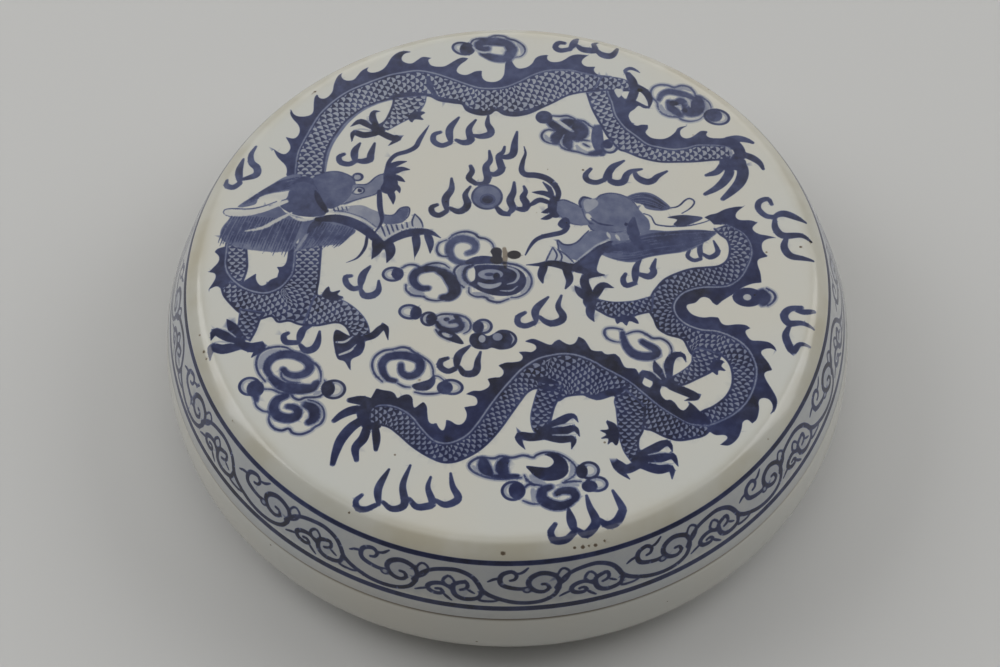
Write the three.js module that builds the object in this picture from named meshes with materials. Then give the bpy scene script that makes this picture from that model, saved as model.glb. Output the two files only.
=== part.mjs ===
// A round porcelain box: a shallow base with a foot ring and an upright inner flange,
// and a flat-topped lid that drops over the flange and rests on the base's ledge.
// Both pieces are thrown shapes, so each one is a single profile turned about the Z axis.
// Units are millimetres, +Z is up, and the origin is the centre of the foot on the table.

import * as THREE from 'three';

// Driving dimensions of the base
const overallDiameter = 200; // across the belly, the widest point
const footInset = 22; // from the belly in to the outside of the foot ring
const footWidth = 5; // radial width of the foot ring
const footHeight = 3.3; // outer face of the foot ring
const undersideRecess = 3.6; // hollow of the underside above the table
const undersideSlope = 18; // rise of the underside outside the foot, in degrees
const undersideReach = 16; // how far the underside holds that slope
const bellyHeight = 18.4; // height of the widest point
const bellyDrop = 10.5; // how far below the belly the wall keeps falling
const bellyOverhang = 1.14; // how far the belly stands out past the ledge
const ledgeHeight = 28.7; // height of the ledge that carries the lid
const baseWall = 6; // wall at the belly
const floorThickness = 5.4; // floor above the hollow of the underside
const floorCove = 14; // reach of the rounded corner between floor and wall
const flangeHeight = 4.5; // upright flange above the ledge
const flangeThickness = 2.6;

// Driving dimensions of the lid
const seamGap = 0.3; // hairline between the lid's rim and the ledge
const rimWidth = 5.8; // width of the rim that rests on the ledge
const flangeClearance = 0.7; // radial play between the flange and the lid
const flangeHeadroom = 1; // straight inner wall above the flange
const rimHeight = 4.2; // plain rim below the thick blue line
const rimFlare = 1.46; // how far the rim stands out past that line
const bandHeight = 14.8; // wall that carries the scroll band
const bandFlare = 5.7; // how far the band leans out from top to bottom
const bandBulge = 0.35; // how far the band swells past its straight line
const shoulderRise = 4; // bevel between the band and the flat top
const shoulderRun = 4.7;
const topThickness = 5.2; // thickness of the flat top
const ceilingCove = 8; // reach of the rounded corner under the top

// Driving dimensions of both pieces
const edgeRound = 0.6; // soft edges of rims, flange and foot
const turnSegments = 64; // facets round each piece
const curveSteps = 6; // points along each curved stretch of a profile

// Radii and heights that both pieces share
const bellyRadius = overallDiameter / 2;
const seamRadius = bellyRadius - bellyOverhang;
const lidInnerRadius = seamRadius - rimWidth;
const flangeRadius = lidInnerRadius - flangeClearance;
const flangeTop = ledgeHeight + flangeHeight;

function turned(path) {
  // Turns an outline of radius and height about the Z axis. The outline runs
  // anticlockwise from the axis back to the axis, so that faces point outwards.
  const geometry = new THREE.LatheGeometry(path.getPoints(curveSteps), turnSegments);
  return geometry.rotateX(Math.PI / 2);
}

function basePath() {
  const footRadius = bellyRadius - footInset;
  const footInner = footRadius - footWidth;
  const flangeInner = flangeRadius - flangeThickness;
  const innerBelly = bellyRadius - baseWall;
  const floor = undersideRecess + floorThickness;
  const slope = THREE.MathUtils.degToRad(undersideSlope);
  const slopeEnd = footRadius + undersideReach * Math.cos(slope);
  const slopeTop = footHeight + undersideReach * Math.sin(slope);
  const path = new THREE.Path();

  // Underside and foot ring
  path.moveTo(0, undersideRecess);
  path.lineTo(footInner, undersideRecess);
  path.lineTo(footInner, edgeRound);
  path.lineTo(footInner + edgeRound, 0);
  path.lineTo(footRadius - edgeRound, 0);
  path.lineTo(footRadius, edgeRound);
  path.lineTo(footRadius, footHeight);

  // Sloping underside, belly and outer wall up to the ledge
  path.bezierCurveTo(slopeEnd, slopeTop, bellyRadius, bellyHeight - bellyDrop, bellyRadius, bellyHeight);
  path.quadraticCurveTo(
    bellyRadius,
    (bellyHeight + ledgeHeight) / 2,
    seamRadius,
    ledgeHeight - edgeRound,
  );
  path.lineTo(seamRadius - edgeRound, ledgeHeight);

  // Ledge and upright flange
  path.lineTo(flangeRadius, ledgeHeight);
  path.lineTo(flangeRadius, flangeTop - edgeRound);
  path.lineTo(flangeRadius - edgeRound, flangeTop);
  path.lineTo(flangeInner + edgeRound, flangeTop);
  path.lineTo(flangeInner, flangeTop - edgeRound);

  // Inside wall, rounded corner and floor
  path.lineTo(flangeInner, ledgeHeight);
  path.quadraticCurveTo(innerBelly, ledgeHeight, innerBelly, bellyHeight);
  path.quadraticCurveTo(innerBelly, floor, innerBelly - floorCove, floor);
  path.lineTo(0, floor);
  return path;
}

function lidPath() {
  const rimBottom = ledgeHeight + seamGap;
  const lineHeight = rimBottom + rimHeight;
  const lineRadius = seamRadius - rimFlare;
  const bandTop = lineHeight + bandHeight;
  const bandTopRadius = lineRadius - bandFlare;
  const top = bandTop + shoulderRise;
  const topRadius = bandTopRadius - shoulderRun;
  const ceiling = top - topThickness;

  // The inside leans with the band above the straight stretch that clears the flange
  const straightTop = flangeTop + flangeHeadroom;
  const innerLean = bandFlare / bandHeight;
  const ceilingRadius = lidInnerRadius - innerLean * (ceiling - straightTop);
  const coveDrop = Math.min(ceilingCove, (ceiling - straightTop) / 2);
  const coveRadius = ceilingRadius + innerLean * coveDrop;
  const path = new THREE.Path();

  // Ceiling, inner wall and rim
  path.moveTo(0, ceiling);
  path.lineTo(ceilingRadius - ceilingCove, ceiling);
  path.quadraticCurveTo(ceilingRadius, ceiling, coveRadius, ceiling - coveDrop);
  path.lineTo(lidInnerRadius, straightTop);
  path.lineTo(lidInnerRadius, rimBottom + edgeRound);
  path.lineTo(lidInnerRadius + edgeRound, rimBottom);
  path.lineTo(seamRadius - edgeRound, rimBottom);
  path.lineTo(seamRadius, rimBottom + edgeRound);

  // Rim, scroll band, bevelled shoulder and flat top
  path.lineTo(lineRadius, lineHeight);
  path.quadraticCurveTo(
    (lineRadius + bandTopRadius) / 2 + 2 * bandBulge,
    (lineHeight + bandTop) / 2,
    bandTopRadius,
    bandTop,
  );
  path.quadraticCurveTo(
    bandTopRadius - (innerLean * shoulderRise) / 4,
    bandTop + shoulderRise / 4,
    topRadius,
    top,
  );
  path.lineTo(0, top);
  return path;
}

function piece(name, path, glaze) {
  const mesh = new THREE.Mesh(turned(path), glaze);
  mesh.name = name;
  return mesh;
}

const plainGlaze = new THREE.MeshStandardMaterial({ color: 0xd6d8d0, roughness: 0.18, metalness: 0 });
const paintedGlaze = new THREE.MeshStandardMaterial({ color: 0xc9ccd2, roughness: 0.16, metalness: 0 });

const group = new THREE.Group();
group.add(piece('base', basePath(), plainGlaze));
group.add(piece('lid', lidPath(), paintedGlaze));

export default group;
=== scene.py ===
# %% [markdown]
# # A blue-and-white porcelain box
#
# The box has two fired pieces: a plain base and a lid that lifts off. Both are thrown on a wheel, so their
# shapes are turned profiles. What makes the box is the painting on the lid: two dragons, a flaming pearl,
# clouds and a scroll band, brushed in cobalt on the raw clay and then covered by a clear glaze.
# Here the painting is built up brush mark by brush mark, and the lid's mesh follows the edges of the marks.

# %% The frame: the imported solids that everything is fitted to
import math

import bpy
import numpy as np
from mathutils import Matrix, Vector
from mathutils.geometry import delaunay_2d_cdt


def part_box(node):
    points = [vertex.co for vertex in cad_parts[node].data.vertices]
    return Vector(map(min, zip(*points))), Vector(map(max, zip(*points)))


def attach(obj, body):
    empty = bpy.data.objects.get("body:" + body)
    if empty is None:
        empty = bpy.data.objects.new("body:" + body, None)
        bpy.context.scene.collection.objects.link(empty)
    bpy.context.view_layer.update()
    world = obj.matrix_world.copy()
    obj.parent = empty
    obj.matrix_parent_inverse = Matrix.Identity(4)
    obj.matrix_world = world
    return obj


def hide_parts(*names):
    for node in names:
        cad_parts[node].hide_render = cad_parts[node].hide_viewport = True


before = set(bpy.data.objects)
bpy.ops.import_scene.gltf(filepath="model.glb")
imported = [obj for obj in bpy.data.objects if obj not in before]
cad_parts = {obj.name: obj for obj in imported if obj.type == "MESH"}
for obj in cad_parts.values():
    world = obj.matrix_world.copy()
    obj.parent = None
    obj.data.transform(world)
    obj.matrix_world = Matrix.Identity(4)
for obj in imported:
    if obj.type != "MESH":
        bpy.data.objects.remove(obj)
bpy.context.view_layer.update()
MM = 0.001

# %% [markdown]
# The camera stands in front of the box and looks steeply down on the lid, because the lid carries the
# painting. Its place was found by fitting the rings of the lid in a perspective view, so the ellipses open
# by the right amount.

# %% Camera
CAMERA_PLACE = (-0.00211, -0.37082, 0.58834)
CAMERA_TILT = math.radians(33.04)
CAMERA_ROLL = math.radians(-0.254)
LENS_MM, SENSOR_MM = 82.8, 36.0
camera_data = bpy.data.cameras.new("camera")
camera_data.lens = LENS_MM
camera_data.sensor_width = SENSOR_MM
camera = bpy.data.objects.new("camera", camera_data)
turn = Matrix.Rotation(CAMERA_TILT, 4, "X") @ Matrix.Rotation(CAMERA_ROLL, 4, "Z")
camera.matrix_world = Matrix.Translation(CAMERA_PLACE) @ turn
bpy.context.scene.collection.objects.link(camera)
bpy.context.scene.camera = camera
print("camera at", CAMERA_PLACE)

# %% [markdown]
# Glazed porcelain shows its light as much as its colour. Two soft lamps stand at the left and the right, a
# little behind the box, and a weak one hangs above the front, so the top is lit evenly and the front wall
# stays a little darker. A dome that grows brighter towards the back lays a faint veil on the far half of
# the glaze. A dome made of a smooth formula gives reflections without hard edges, which a single bright
# panel would not.

# %% Light and floor
BOX_MIDDLE = (0, 0, 0.03)
DOME_WHITE = (1.0, 0.99, 0.97, 1.0)


def area_lamp(name, place, size, power):
    """A rectangular lamp of two sizes at place whose face looks at the middle of the box."""
    data = bpy.data.lights.new(name, "AREA")
    data.shape = "RECTANGLE"
    data.size, data.size_y = size
    data.energy = power
    lamp = bpy.data.objects.new(name, data)
    lamp.location = place
    lamp.rotation_euler = (Vector(BOX_MIDDLE) - Vector(place)).to_track_quat("-Z", "Y").to_euler()
    bpy.context.scene.collection.objects.link(lamp)


def dome(low, high, axis, start, end):
    """World whose grey goes from low to high as a direction turns from start to end of its cosine to axis."""
    world = bpy.data.worlds.new("studio_dome")
    world.use_nodes = True
    nodes, links = world.node_tree.nodes, world.node_tree.links
    direction = nodes.new("ShaderNodeTexCoord")
    cosine = nodes.new("ShaderNodeVectorMath")
    cosine.operation = "DOT_PRODUCT"
    cosine.inputs[1].default_value = Vector(axis).normalized()
    links.new(direction.outputs["Generated"], cosine.inputs[0])
    grade = nodes.new("ShaderNodeMapRange")
    grade.interpolation_type = "SMOOTHSTEP"
    for socket, value in (("From Min", start), ("From Max", end), ("To Min", low), ("To Max", high)):
        grade.inputs[socket].default_value = value
    links.new(cosine.outputs["Value"], grade.inputs["Value"])
    links.new(grade.outputs["Result"], nodes["Background"].inputs["Strength"])
    nodes["Background"].inputs["Color"].default_value = DOME_WHITE
    bpy.context.scene.world = world


bpy.context.scene.view_settings.view_transform = "Standard"
dome(low=0.24, high=1.40, axis=(0.0, 0.94, 0.34), start=0.70, end=0.98)
area_lamp("key_lamp", (0.0, -0.30, 1.20), (1.4, 0.6), 2.0)
area_lamp("left_lamp", (-1.00, 0.30, 0.90), (0.9, 0.9), 7.6)
area_lamp("right_lamp", (1.00, 0.30, 0.90), (0.9, 0.9), 6.7)

FLOOR_HALF, FLOOR_GREY, FLOOR_ROUGHNESS = 3.0, (0.50, 0.50, 0.49, 1.0), 0.6
floor_mesh = bpy.data.meshes.new("floor")
corners = [(-1, -1), (1, -1), (1, 1), (-1, 1)]
floor_mesh.from_pydata([(x * FLOOR_HALF, y * FLOOR_HALF, 0.0) for x, y in corners], [], [(0, 1, 2, 3)])
floor = bpy.data.objects.new("floor", floor_mesh)
bpy.context.scene.collection.objects.link(floor)
floor_finish = bpy.data.materials.new("pale_floor")
floor_finish.use_nodes = True
floor_shader = floor_finish.node_tree.nodes["Principled BSDF"]
floor_shader.inputs["Base Color"].default_value = FLOOR_GREY
floor_shader.inputs["Roughness"].default_value = FLOOR_ROUGHNESS
floor_mesh.materials.append(floor_finish)
print("floor is", 2 * FLOOR_HALF, "m wide")

# %% [markdown]
# A thrown piece is one outline turned about its axis. The outline below runs from the middle of the underside
# outwards, up the wall and back to the axis. Glaze rounds every edge it covers, so the outline is averaged
# along a short stretch, which leaves flat parts flat and softens the corners. Points are then spent where
# the outline bends.

# %% Outlines of thrown pieces
FINE_STEP = 0.1


def along(path):
    """Distance travelled along a path of points, from its first point."""
    return np.concatenate([[0.0], np.cumsum(np.hypot(*np.diff(path, axis=0).T))])


def even(path, step):
    """The same path with points at equal steps, close to the step asked for."""
    run = along(path)
    stops = np.linspace(0.0, run[-1], max(2, int(np.ceil(run[-1] / step)) + 1))
    return np.stack([np.interp(stops, run, path[:, 0]), np.interp(stops, run, path[:, 1])], 1)


def bezier(*controls, steps=24):
    """Bezier curve of any order: repeated blending of neighbouring control points."""
    share = np.linspace(0.0, 1.0, steps)[:, None, None]
    level = np.array(controls, float)[None] * np.ones_like(share)
    while level.shape[1] > 1:
        level = (1 - share) * level[:, :-1] + share * level[:, 1:]
    return level[:, 0]


def softened(path, reach):
    """Moving average of the path over a window of the given reach, which rounds its corners."""
    fine = even(np.asarray(path, float), FINE_STEP)
    half = int(round(reach / FINE_STEP))
    window = np.hanning(2 * half + 3)[1:-1]
    window /= window.sum()
    before, after = 2 * fine[0] - fine[half:0:-1], 2 * fine[-1] - fine[-2:-half - 2:-1]
    padded = np.vstack([before, fine, after])
    return np.stack([np.convolve(padded[:, k], window, "valid") for k in (0, 1)], 1)


def spent(path, straight, bend):
    """Points of the path at equal steps of length / straight + turning / bend, so corners get most points."""
    heading = np.unwrap(np.arctan2(*np.diff(path, axis=0).T[::-1]))
    turning = np.concatenate([[0.0], np.abs(np.diff(heading)), [0.0]])
    cost = along(path) / straight + np.cumsum(turning) / math.radians(bend)
    stops = np.linspace(0.0, cost[-1], int(np.ceil(cost[-1])) + 1)
    return np.stack([np.interp(stops, cost, path[:, 0]), np.interp(stops, cost, path[:, 1])], 1)


lid_low, lid_high = (np.array(corner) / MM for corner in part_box("lid"))
base_high = np.array(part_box("base")[1]) / MM
TOP = lid_high[2]
RIM_BOTTOM = lid_low[2]
SEAM_RADIUS = lid_high[0]
BELLY_RADIUS = base_high[0]
FLANGE_TOP = base_high[2]
print(f"top {TOP:.1f}, rim {RIM_BOTTOM:.1f}, seam radius {SEAM_RADIUS:.2f}, belly {BELLY_RADIUS:.1f} mm")

# %% Outline of the lid
RIM_HEIGHT, RIM_FLARE, RIM_WIDTH = 4.2, 1.46, 5.8
BAND_HEIGHT, BAND_FLARE, BAND_SWELL = 14.8, 5.7, 0.7
SHOULDER_RUN, SHOULDER_LEAN, SHOULDER_LIFT = 4.7, 0.4, 1.0
TOP_THICKNESS, HEADROOM = 5.2, 1.0
COVE_START, COVE_CORNER, COVE_END, COVE_DROP = 80.2, 88.2, 90.6, 6.3
EDGE, EDGE_ROUND, OUTSIDE_ROUND = 0.6, 0.5, 2.6
LINE_RADIUS, LINE_HEIGHT = SEAM_RADIUS - RIM_FLARE, RIM_BOTTOM + RIM_HEIGHT
BAND_TOP_RADIUS, BAND_TOP = LINE_RADIUS - BAND_FLARE, LINE_HEIGHT + BAND_HEIGHT
TOP_RADIUS = BAND_TOP_RADIUS - SHOULDER_RUN
LID_INNER = SEAM_RADIUS - RIM_WIDTH
CEILING = TOP - TOP_THICKNESS
lid_outside = softened(np.vstack([
    [(SEAM_RADIUS, RIM_BOTTOM + EDGE)],
    bezier((LINE_RADIUS, LINE_HEIGHT),
           ((LINE_RADIUS + BAND_TOP_RADIUS) / 2 + BAND_SWELL, (LINE_HEIGHT + BAND_TOP) / 2),
           (BAND_TOP_RADIUS, BAND_TOP)),
    bezier((BAND_TOP_RADIUS, BAND_TOP),
           (BAND_TOP_RADIUS - SHOULDER_LEAN, BAND_TOP + SHOULDER_LIFT),
           (TOP_RADIUS, TOP))[1:],
    [(0.0, TOP)],
]), OUTSIDE_ROUND)
lid_inside = np.vstack([
    [(0.0, CEILING)],
    bezier((COVE_START, CEILING), (COVE_CORNER, CEILING), (COVE_END, CEILING - COVE_DROP)),
    [(LID_INNER, FLANGE_TOP + HEADROOM), (LID_INNER, RIM_BOTTOM + EDGE), (LID_INNER + EDGE, RIM_BOTTOM)],
    [(SEAM_RADIUS - EDGE, RIM_BOTTOM)],
])
lid_profile = softened(np.vstack([lid_inside, lid_outside]), EDGE_ROUND)
lid_run = along(lid_profile)


def run_at(radius, height):
    """Distance along the lid's outline of its point nearest to a radius and height."""
    return lid_run[np.argmin(np.hypot(lid_profile[:, 0] - radius, lid_profile[:, 1] - height))]


LOWER_LINE = run_at(LINE_RADIUS, LINE_HEIGHT)
UPPER_LINE = run_at(BAND_TOP_RADIUS, BAND_TOP)
TOP_EDGE = run_at(TOP_RADIUS, TOP)
BAND_TALL = UPPER_LINE - LOWER_LINE
print(f"scroll band is {BAND_TALL:.2f} mm tall, lid outline {lid_run[-1]:.1f} mm long")

# %% [markdown]
# A brush mark is a path with a width that swells and tapers, or a closed wash. Each mark keeps a tone, from
# 0, bare glaze, to 1, cobalt so thick that it fires almost black. Points are given in millimetres,
# with x to the right and y away from the viewer, and a Catmull-Rom curve joins them as a wrist would. A
# picture texture would be quicker, but it would only repeat pixels; marks stay sharp and can be repainted.

# %% Brush marks
STEP, SPAN_POINTS = 0.6, 12
BODY_LINE, BODY_LINE_TONE = 0.64, 0.85


def points(text):
    """Points written as x,y pairs with spaces between them; a ^ after a pair is left aside."""
    return np.array([pair.strip("^").split(",") for pair in text.split()], float)


def smooth(route, step=STEP, closed=False):
    """Catmull-Rom curve: between two points a cubic whose slope at each point is half the step
    from the point before it to the point after it."""
    p = points(route) if isinstance(route, str) else np.asarray(route, float)
    if closed:
        p = np.vstack([p[-1:], p, p[:2]])
    else:
        p = np.vstack([2 * p[:1] - p[1:2], p, 2 * p[-1:] - p[-2:-1]])
    a, b, c, d = p[:-3, None], p[1:-2, None], p[2:-1, None], p[3:, None]
    t = np.linspace(0.0, 1.0, SPAN_POINTS, endpoint=False)[None, :, None]
    cubic = (2 * b + (c - a) * t + (2 * a - 5 * b + 4 * c - d) * t**2 + (3 * b - a - 3 * c + d) * t**3) / 2
    return even(np.vstack([cubic.reshape(-1, 2), p[-2:-1]]), step)


class Sheet:
    """The brush marks of one painted surface, in the order in which they are painted."""

    def __init__(self):
        self.marks = []

    def stroke(self, route, width, tone=0.9, start=0.4, end=0.05, belly=0.45, **kind):
        """A stroke whose width rises as a sine from start to the full width at belly and falls as a
        cosine to end; start and end are shares of the width."""
        path = smooth(route)
        t = np.linspace(0.0, 1.0, len(path))
        rise = start + (1 - start) * np.sin(np.pi / 2 * np.clip(t / belly, 0, 1))
        fall = end + (1 - end) * np.cos(np.pi / 2 * np.clip((t - belly) / (1 - belly), 0, 1))
        half = width / 2 * np.minimum(rise, fall)
        self.marks.append({"path": path, "half": half, "tone": tone, **kind})

    def strokes(self, tone, *sized, **brush):
        """Several strokes of one tone, each written as a width and a route."""
        for width, route in sized:
            self.stroke(route, width, tone, **brush)

    def line(self, route, width=0.5, tone=0.8, **kind):
        """A thin outline with a little taper at both ends."""
        self.stroke(route, width, tone, start=0.7, end=0.5, **kind)

    def wash(self, route, tone, **kind):
        """A closed area with one tone, bounded by a smooth curve through the points."""
        self.marks.append({"path": smooth(route, closed=True), "half": None, "tone": tone, **kind})

    def area(self, path, tone, **kind):
        """A closed area bounded by points that are already close together."""
        outline = even(np.vstack([path, path[:1]]), STEP)
        self.marks.append({"path": outline, "half": None, "tone": tone, **kind})

    def oval(self, x, y, wide, tall, tone, turn=0.0, **kind):
        """A wash in the form of an ellipse with full sizes wide and tall, turned by some degrees."""
        t = np.linspace(0.0, 2 * np.pi, 16, endpoint=False)
        c, s = math.cos(math.radians(turn)), math.sin(math.radians(turn))
        across, up = wide / 2 * np.cos(t), tall / 2 * np.sin(t)
        self.wash(np.stack([x + c * across - s * up, y + s * across + c * up], 1), tone, **kind)

    def bud(self, x, y, wide, tall, dark_x, dark_y, dark, turn=0.0, stretch=0.95, tone=0.88):
        """A cloud bud: a pale oval with a thin outline and a dark drop towards its stem."""
        for inset, shade in ((0.0, 0.78), (1.5, 0.16), (3.0, 0.03)):
            self.oval(x, y, wide - inset, tall - inset, shade, turn)
        self.oval(dark_x, dark_y, dark, dark * stretch, tone, turn)

    def hook(self, *routes, width=1.8, tone=0.76):
        """A flame wisp: a curled hook first, then tongues that taper to a blunt tip."""
        self.stroke(routes[0], width, tone, start=0.6, end=0.85, belly=0.5)
        for route in routes[1:]:
            self.stroke(route, width * 1.25, tone, start=0.5, end=0.3, belly=0.38)

    def claws(self, *routes, gaps=(), width=2.2):
        """Hooked talons, thick at the foot and sharp at the tip, with pale gaps left between them."""
        for route in routes:
            self.stroke(route, width, 0.92, start=0.85, end=0.05, belly=0.35)
        for route in gaps:
            self.stroke(route, 0.6, 0.14, start=0.5, end=0.3, cover=True)

    def scales(self, dorsal, belly, tone=0.55, size=2.6):
        """A body between its dorsal line and its belly edge, covered with scales of one size that are
        counted along the line half way between the two."""
        back, front = smooth(dorsal), smooth(belly)
        edge = np.vstack([back, front[::-1]])
        share = np.linspace(0.0, 1.0, max(4, len(back) // 8))
        half_way = sum(line[np.round(share * (len(line) - 1)).astype(int)] for line in (back, front)) / 2
        self.area(edge, tone, middle=smooth(half_way), size=size)
        half = np.full(len(front), BODY_LINE / 2)
        self.marks.append({"path": front, "half": half, "tone": BODY_LINE_TONE})

    def fin(self, dorsal, edge, tone=0.82):
        """A hooked fin between the dorsal line and an outer edge. The edge is a smooth curve that breaks at
        each tip, and a tip is written with a ^ after it."""
        corner = points(edge)
        tips = [number for number, pair in enumerate(edge.split()) if "^" in pair]
        ends = zip([0] + tips, tips + [len(corner) - 1])
        outer = np.vstack([smooth(corner[first:last + 1]) for first, last in ends])
        self.area(np.vstack([smooth(dorsal), outer[::-1]]), tone)

    def spine(self, dorsal):
        """The dorsal line of a body: a pale thread left between two dark edges."""
        self.line(dorsal, 1.5, 0.8)
        self.line(dorsal, 0.5, 0.24, cover=True)

    def streaks(self, first, last, count, width=0.42, tone=0.8, end=0.3, ragged=0.0):
        """Hair strokes spread evenly between two guide strokes. Each stops short of the guides' ends by up
        to the ragged share of its length, so that the tips don't line up."""
        a, b = smooth(first, 0.1), smooth(last, 0.1)
        for number in range(count):
            share = (number + 0.5) / count
            reach = np.linspace(0.0, 1 - ragged * (0.5 + 0.5 * math.sin(4.7 * number)), 7)
            one, two = (guide[np.round(reach * (len(guide) - 1)).astype(int)] for guide in (a, b))
            sway = 0.12 * math.sin(2.3 * number)
            self.stroke((1 - share) * one + share * two + sway, width, tone, start=0.6, end=end)


top = Sheet()
print("brush ready")

# %% [markdown]
# The painter sets the small things first: wisps of flame, the pearl that the dragons chase, and clouds made
# of curls and buds. A wisp is a hook followed by tongues; a cloud has a thin outline, a broad dark curl
# inside it and buds with a dark drop. They share a few brush habits, so each one is only a list of routes.

# %% Flame wisps
top.hook("-81.5,32 -81.5,30 -79.5,29 -77.5,30.5", "-77.5,30.5 -78,35 -77,39.5",
         "-76.5,32 -73,33.5 -72.8,36 -74.5,38 -74.8,41 -73.5,44", tone=0.6)
top.hook("-47.5,41 -49,40 -48.5,38 -46,37.3 -44,38.5", "-44.3,38.2 -44.5,42 -43,45",
         "-44,38.7 -42,38.3 -40,39 -39.7,41 -38.7,45")
top.hook("-19.3,49 -21.3,48 -21.3,45.5 -19,44 -16.5,45", "-16.3,45 -16.7,50 -14,54.5",
         "-14.8,46 -12.5,45 -10.5,46 -11,50 -9,53.5", "-9.5,47.7 -7.5,47.3 -5,48 -4.5,49.5 -5.5,52 -5.3,55")
top.hook("24.6,35.2 23,33 23.6,31 26,30.2 28.5,31.2", "28.3,31 29.6,33.5 31,35.8 33,37.2 34.4,38.1",
         "30.2,33 30,31 32,30 34,30.6 35,33 36.5,34.3 39.5,35",
         "37.2,34 38.2,31.8 40.5,30.4 42.5,30.8 44,32.4 46.8,34.2")
top.hook("18,82.8 16,83 15,81.3 16.5,80 19.5,80.5", "19.7,80.8 21,83.5 22,85.3",
         "21.5,82 23,80.5 25,80 27,80 26.8,82.5 28,83.8", "27.5,80 29,78.3 31.5,77.7 33,79 34,81.5")
top.hook("76.5,22 75.5,24 73,23 72.5,20.5 74.5,18 77,17.5", "76.5,17.5 80,18.7 86,15.7",
         "77,17 77,13.5 79,11 84,11 87,9", "80,10.5 79,7 80.5,4 84,3 87,2.2")
top.hook("86,-15 83,-15.3 81,-14.6", "82.5,-13.7 79,-14.3 77.3,-16.5 78.5,-19 82,-19 85.5,-20.7",
         "78.5,-20 77.3,-23 78,-26.5 79,-28.3 81,-26 84,-26.5")
top.hook("-44,-2.3 -45.7,-2.7 -45.3,-5 -43.5,-6.7 -41.5,-6.3", "-41.5,-6 -40.8,-2 -38.8,1",
         "-41.3,-7 -40.3,-9 -38,-9 -36.3,-7.3 -36.3,-4")
top.hook("-61,-21.5 -62.3,-22.5 -61.5,-24.5 -58.5,-24.7", "-58,-24.5 -57,-20.5 -54.5,-19",
         "-57.5,-25.5 -56,-27.3 -53.8,-26.7 -52.7,-24.5 -52.3,-21")
top.hook("5,-15 3,-16.5 3,-18.7 5,-19.5 7.5,-18.5", "8,-18 8,-14 11.5,-9.8",
         "9,-16.5 10.5,-18 12.5,-18.7 15,-17.7 15.5,-16 14.2,-13 15.2,-9.3")
top.hook("-16.5,-30 -18.5,-31 -18.5,-33 -16.5,-34.3 -14.5,-33.5", "-14.2,-33 -13.5,-29 -10.5,-26",
         "-13.3,-33 -12,-35 -9.5,-35 -8.5,-33.5 -8.3,-31 -7.5,-28")
top.hook("-39,-73 -40.6,-74.8 -40,-76.9 -37.8,-77.3 -35.4,-76.2", "-34.5,-76 -34.7,-71 -32,-65.2",
         "-33.4,-75.2 -31.2,-77.2 -28.6,-76.9 -27.6,-75.2 -28.2,-70 -26.3,-64",
         "-26.4,-74.2 -24.6,-76.6 -22,-76.6 -20.2,-75.6 -21.5,-71 -20.8,-67.6",
         "-19.6,-74.6 -17,-76.1 -14.4,-75.3 -13.4,-73.8 -14.9,-70.5 -15.5,-66.5", width=1.7)
top.hook("12.3,-82 11,-84.5 12,-86.7 15,-86.5 17,-84.7", "17.2,-84 16.3,-80 15.8,-77.5",
         "17.8,-83.6 20,-85 22,-83.5 23,-81 21.5,-77 20.7,-73.5",
         "23.6,-80.6 26,-82.3 28.5,-81.3 30,-78.5 30,-77 27.7,-72", width=2.0)
top.hook("52,6 51.3,4 53,2.5 55,3", "55,3.4 55,7 56,9", "55.6,4.8 57.5,3.5 59.5,4.5 60,6 59,9.3", width=1.3)
top.hook("33.5,-2 32.7,-4 33.5,-6 36,-5.3", "36.1,-5 36.5,0 38,3", "37,-2 40,-3 41.5,-1.5 41.3,0 42.2,3",
         width=1.7)
print("wisps:", len(top.marks), "marks")

# %% The flaming pearl
top.hook("-20,22.5 -21.7,21.5 -21.3,19.5 -19.5,18.7 -17.5,20", "-17.2,20.2 -17.7,24.5 -16,28 -16,32",
         "-16.5,21.3 -14,20 -12,21 -11.3,23 -12,26 -10.5,29", tone=0.82)
top.hook("-10.5,36.5 -10,34.5 -11,32 -9,30", "-9,30 -6.5,30 -5.5,32 -6,36 -4.7,38.5 -5,42",
         "-5.5,34 -3.5,33.3 -1.5,35 -2,38 -2.3,40 -1,41.5 -0.5,43.5",
         "-2,39.7 0.5,39.7 2,41 2.5,45 3.2,49", tone=0.82)
top.hook("-3,21.5 -1.5,19.5 0.5,19", "0.3,19 1.7,21 1,24 2,27 2.2,30.5",
         "2.6,21 5,20.7 5.7,22.5 4.7,25 5.5,27 5,29", tone=0.82)
PEARL_WIDE = 9.2
top.oval(-5.7, 25.2, PEARL_WIDE, PEARL_WIDE, 0.7)
top.oval(-5.7, 25.2, 8.0, 8.0, 0.45)
top.oval(-5.5, 24.3, 4.6, 4.2, 0.66)
top.oval(-5.5, 24.3, 3.2, 2.9, 0.9)
print("pearl:", PEARL_WIDE, "mm across")

# %% Clouds of the far half
POOL_TONE = 0.2
OUTLINE_WIDTH, OUTLINE_HALO, OUTLINE_HALO_TONE = 0.7, 1.7, 0.12
CURL_HALO, CURL_HALO_TONE = 0.9, 0.28


def cloud(sheet, outlines, curls, tone=0.9, pools=(), outline_tone=0.72):
    """A cloud: pale pools of wash, outlines with a halo where the wash bled, then broad dark curls. Pools and
    curls are written as a width and a route."""
    sheet.strokes(POOL_TONE, *pools, start=0.6, end=0.6)
    for route in outlines:
        sheet.stroke(route, OUTLINE_HALO, OUTLINE_HALO_TONE, start=0.9, end=0.9)
    for width, route in curls:
        sheet.stroke(route, width + CURL_HALO, CURL_HALO_TONE, start=0.7, end=0.6)
    for route in outlines:
        sheet.line(route, OUTLINE_WIDTH, outline_tone)
    sheet.strokes(tone, *curls, start=0.6, end=0.5, belly=0.5)


def pale_gap(sheet, width, route, tone=0.12):
    """A pale gap left between two washes."""
    sheet.stroke(route, width, tone, start=0.5, end=0.4, cover=True)


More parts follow.
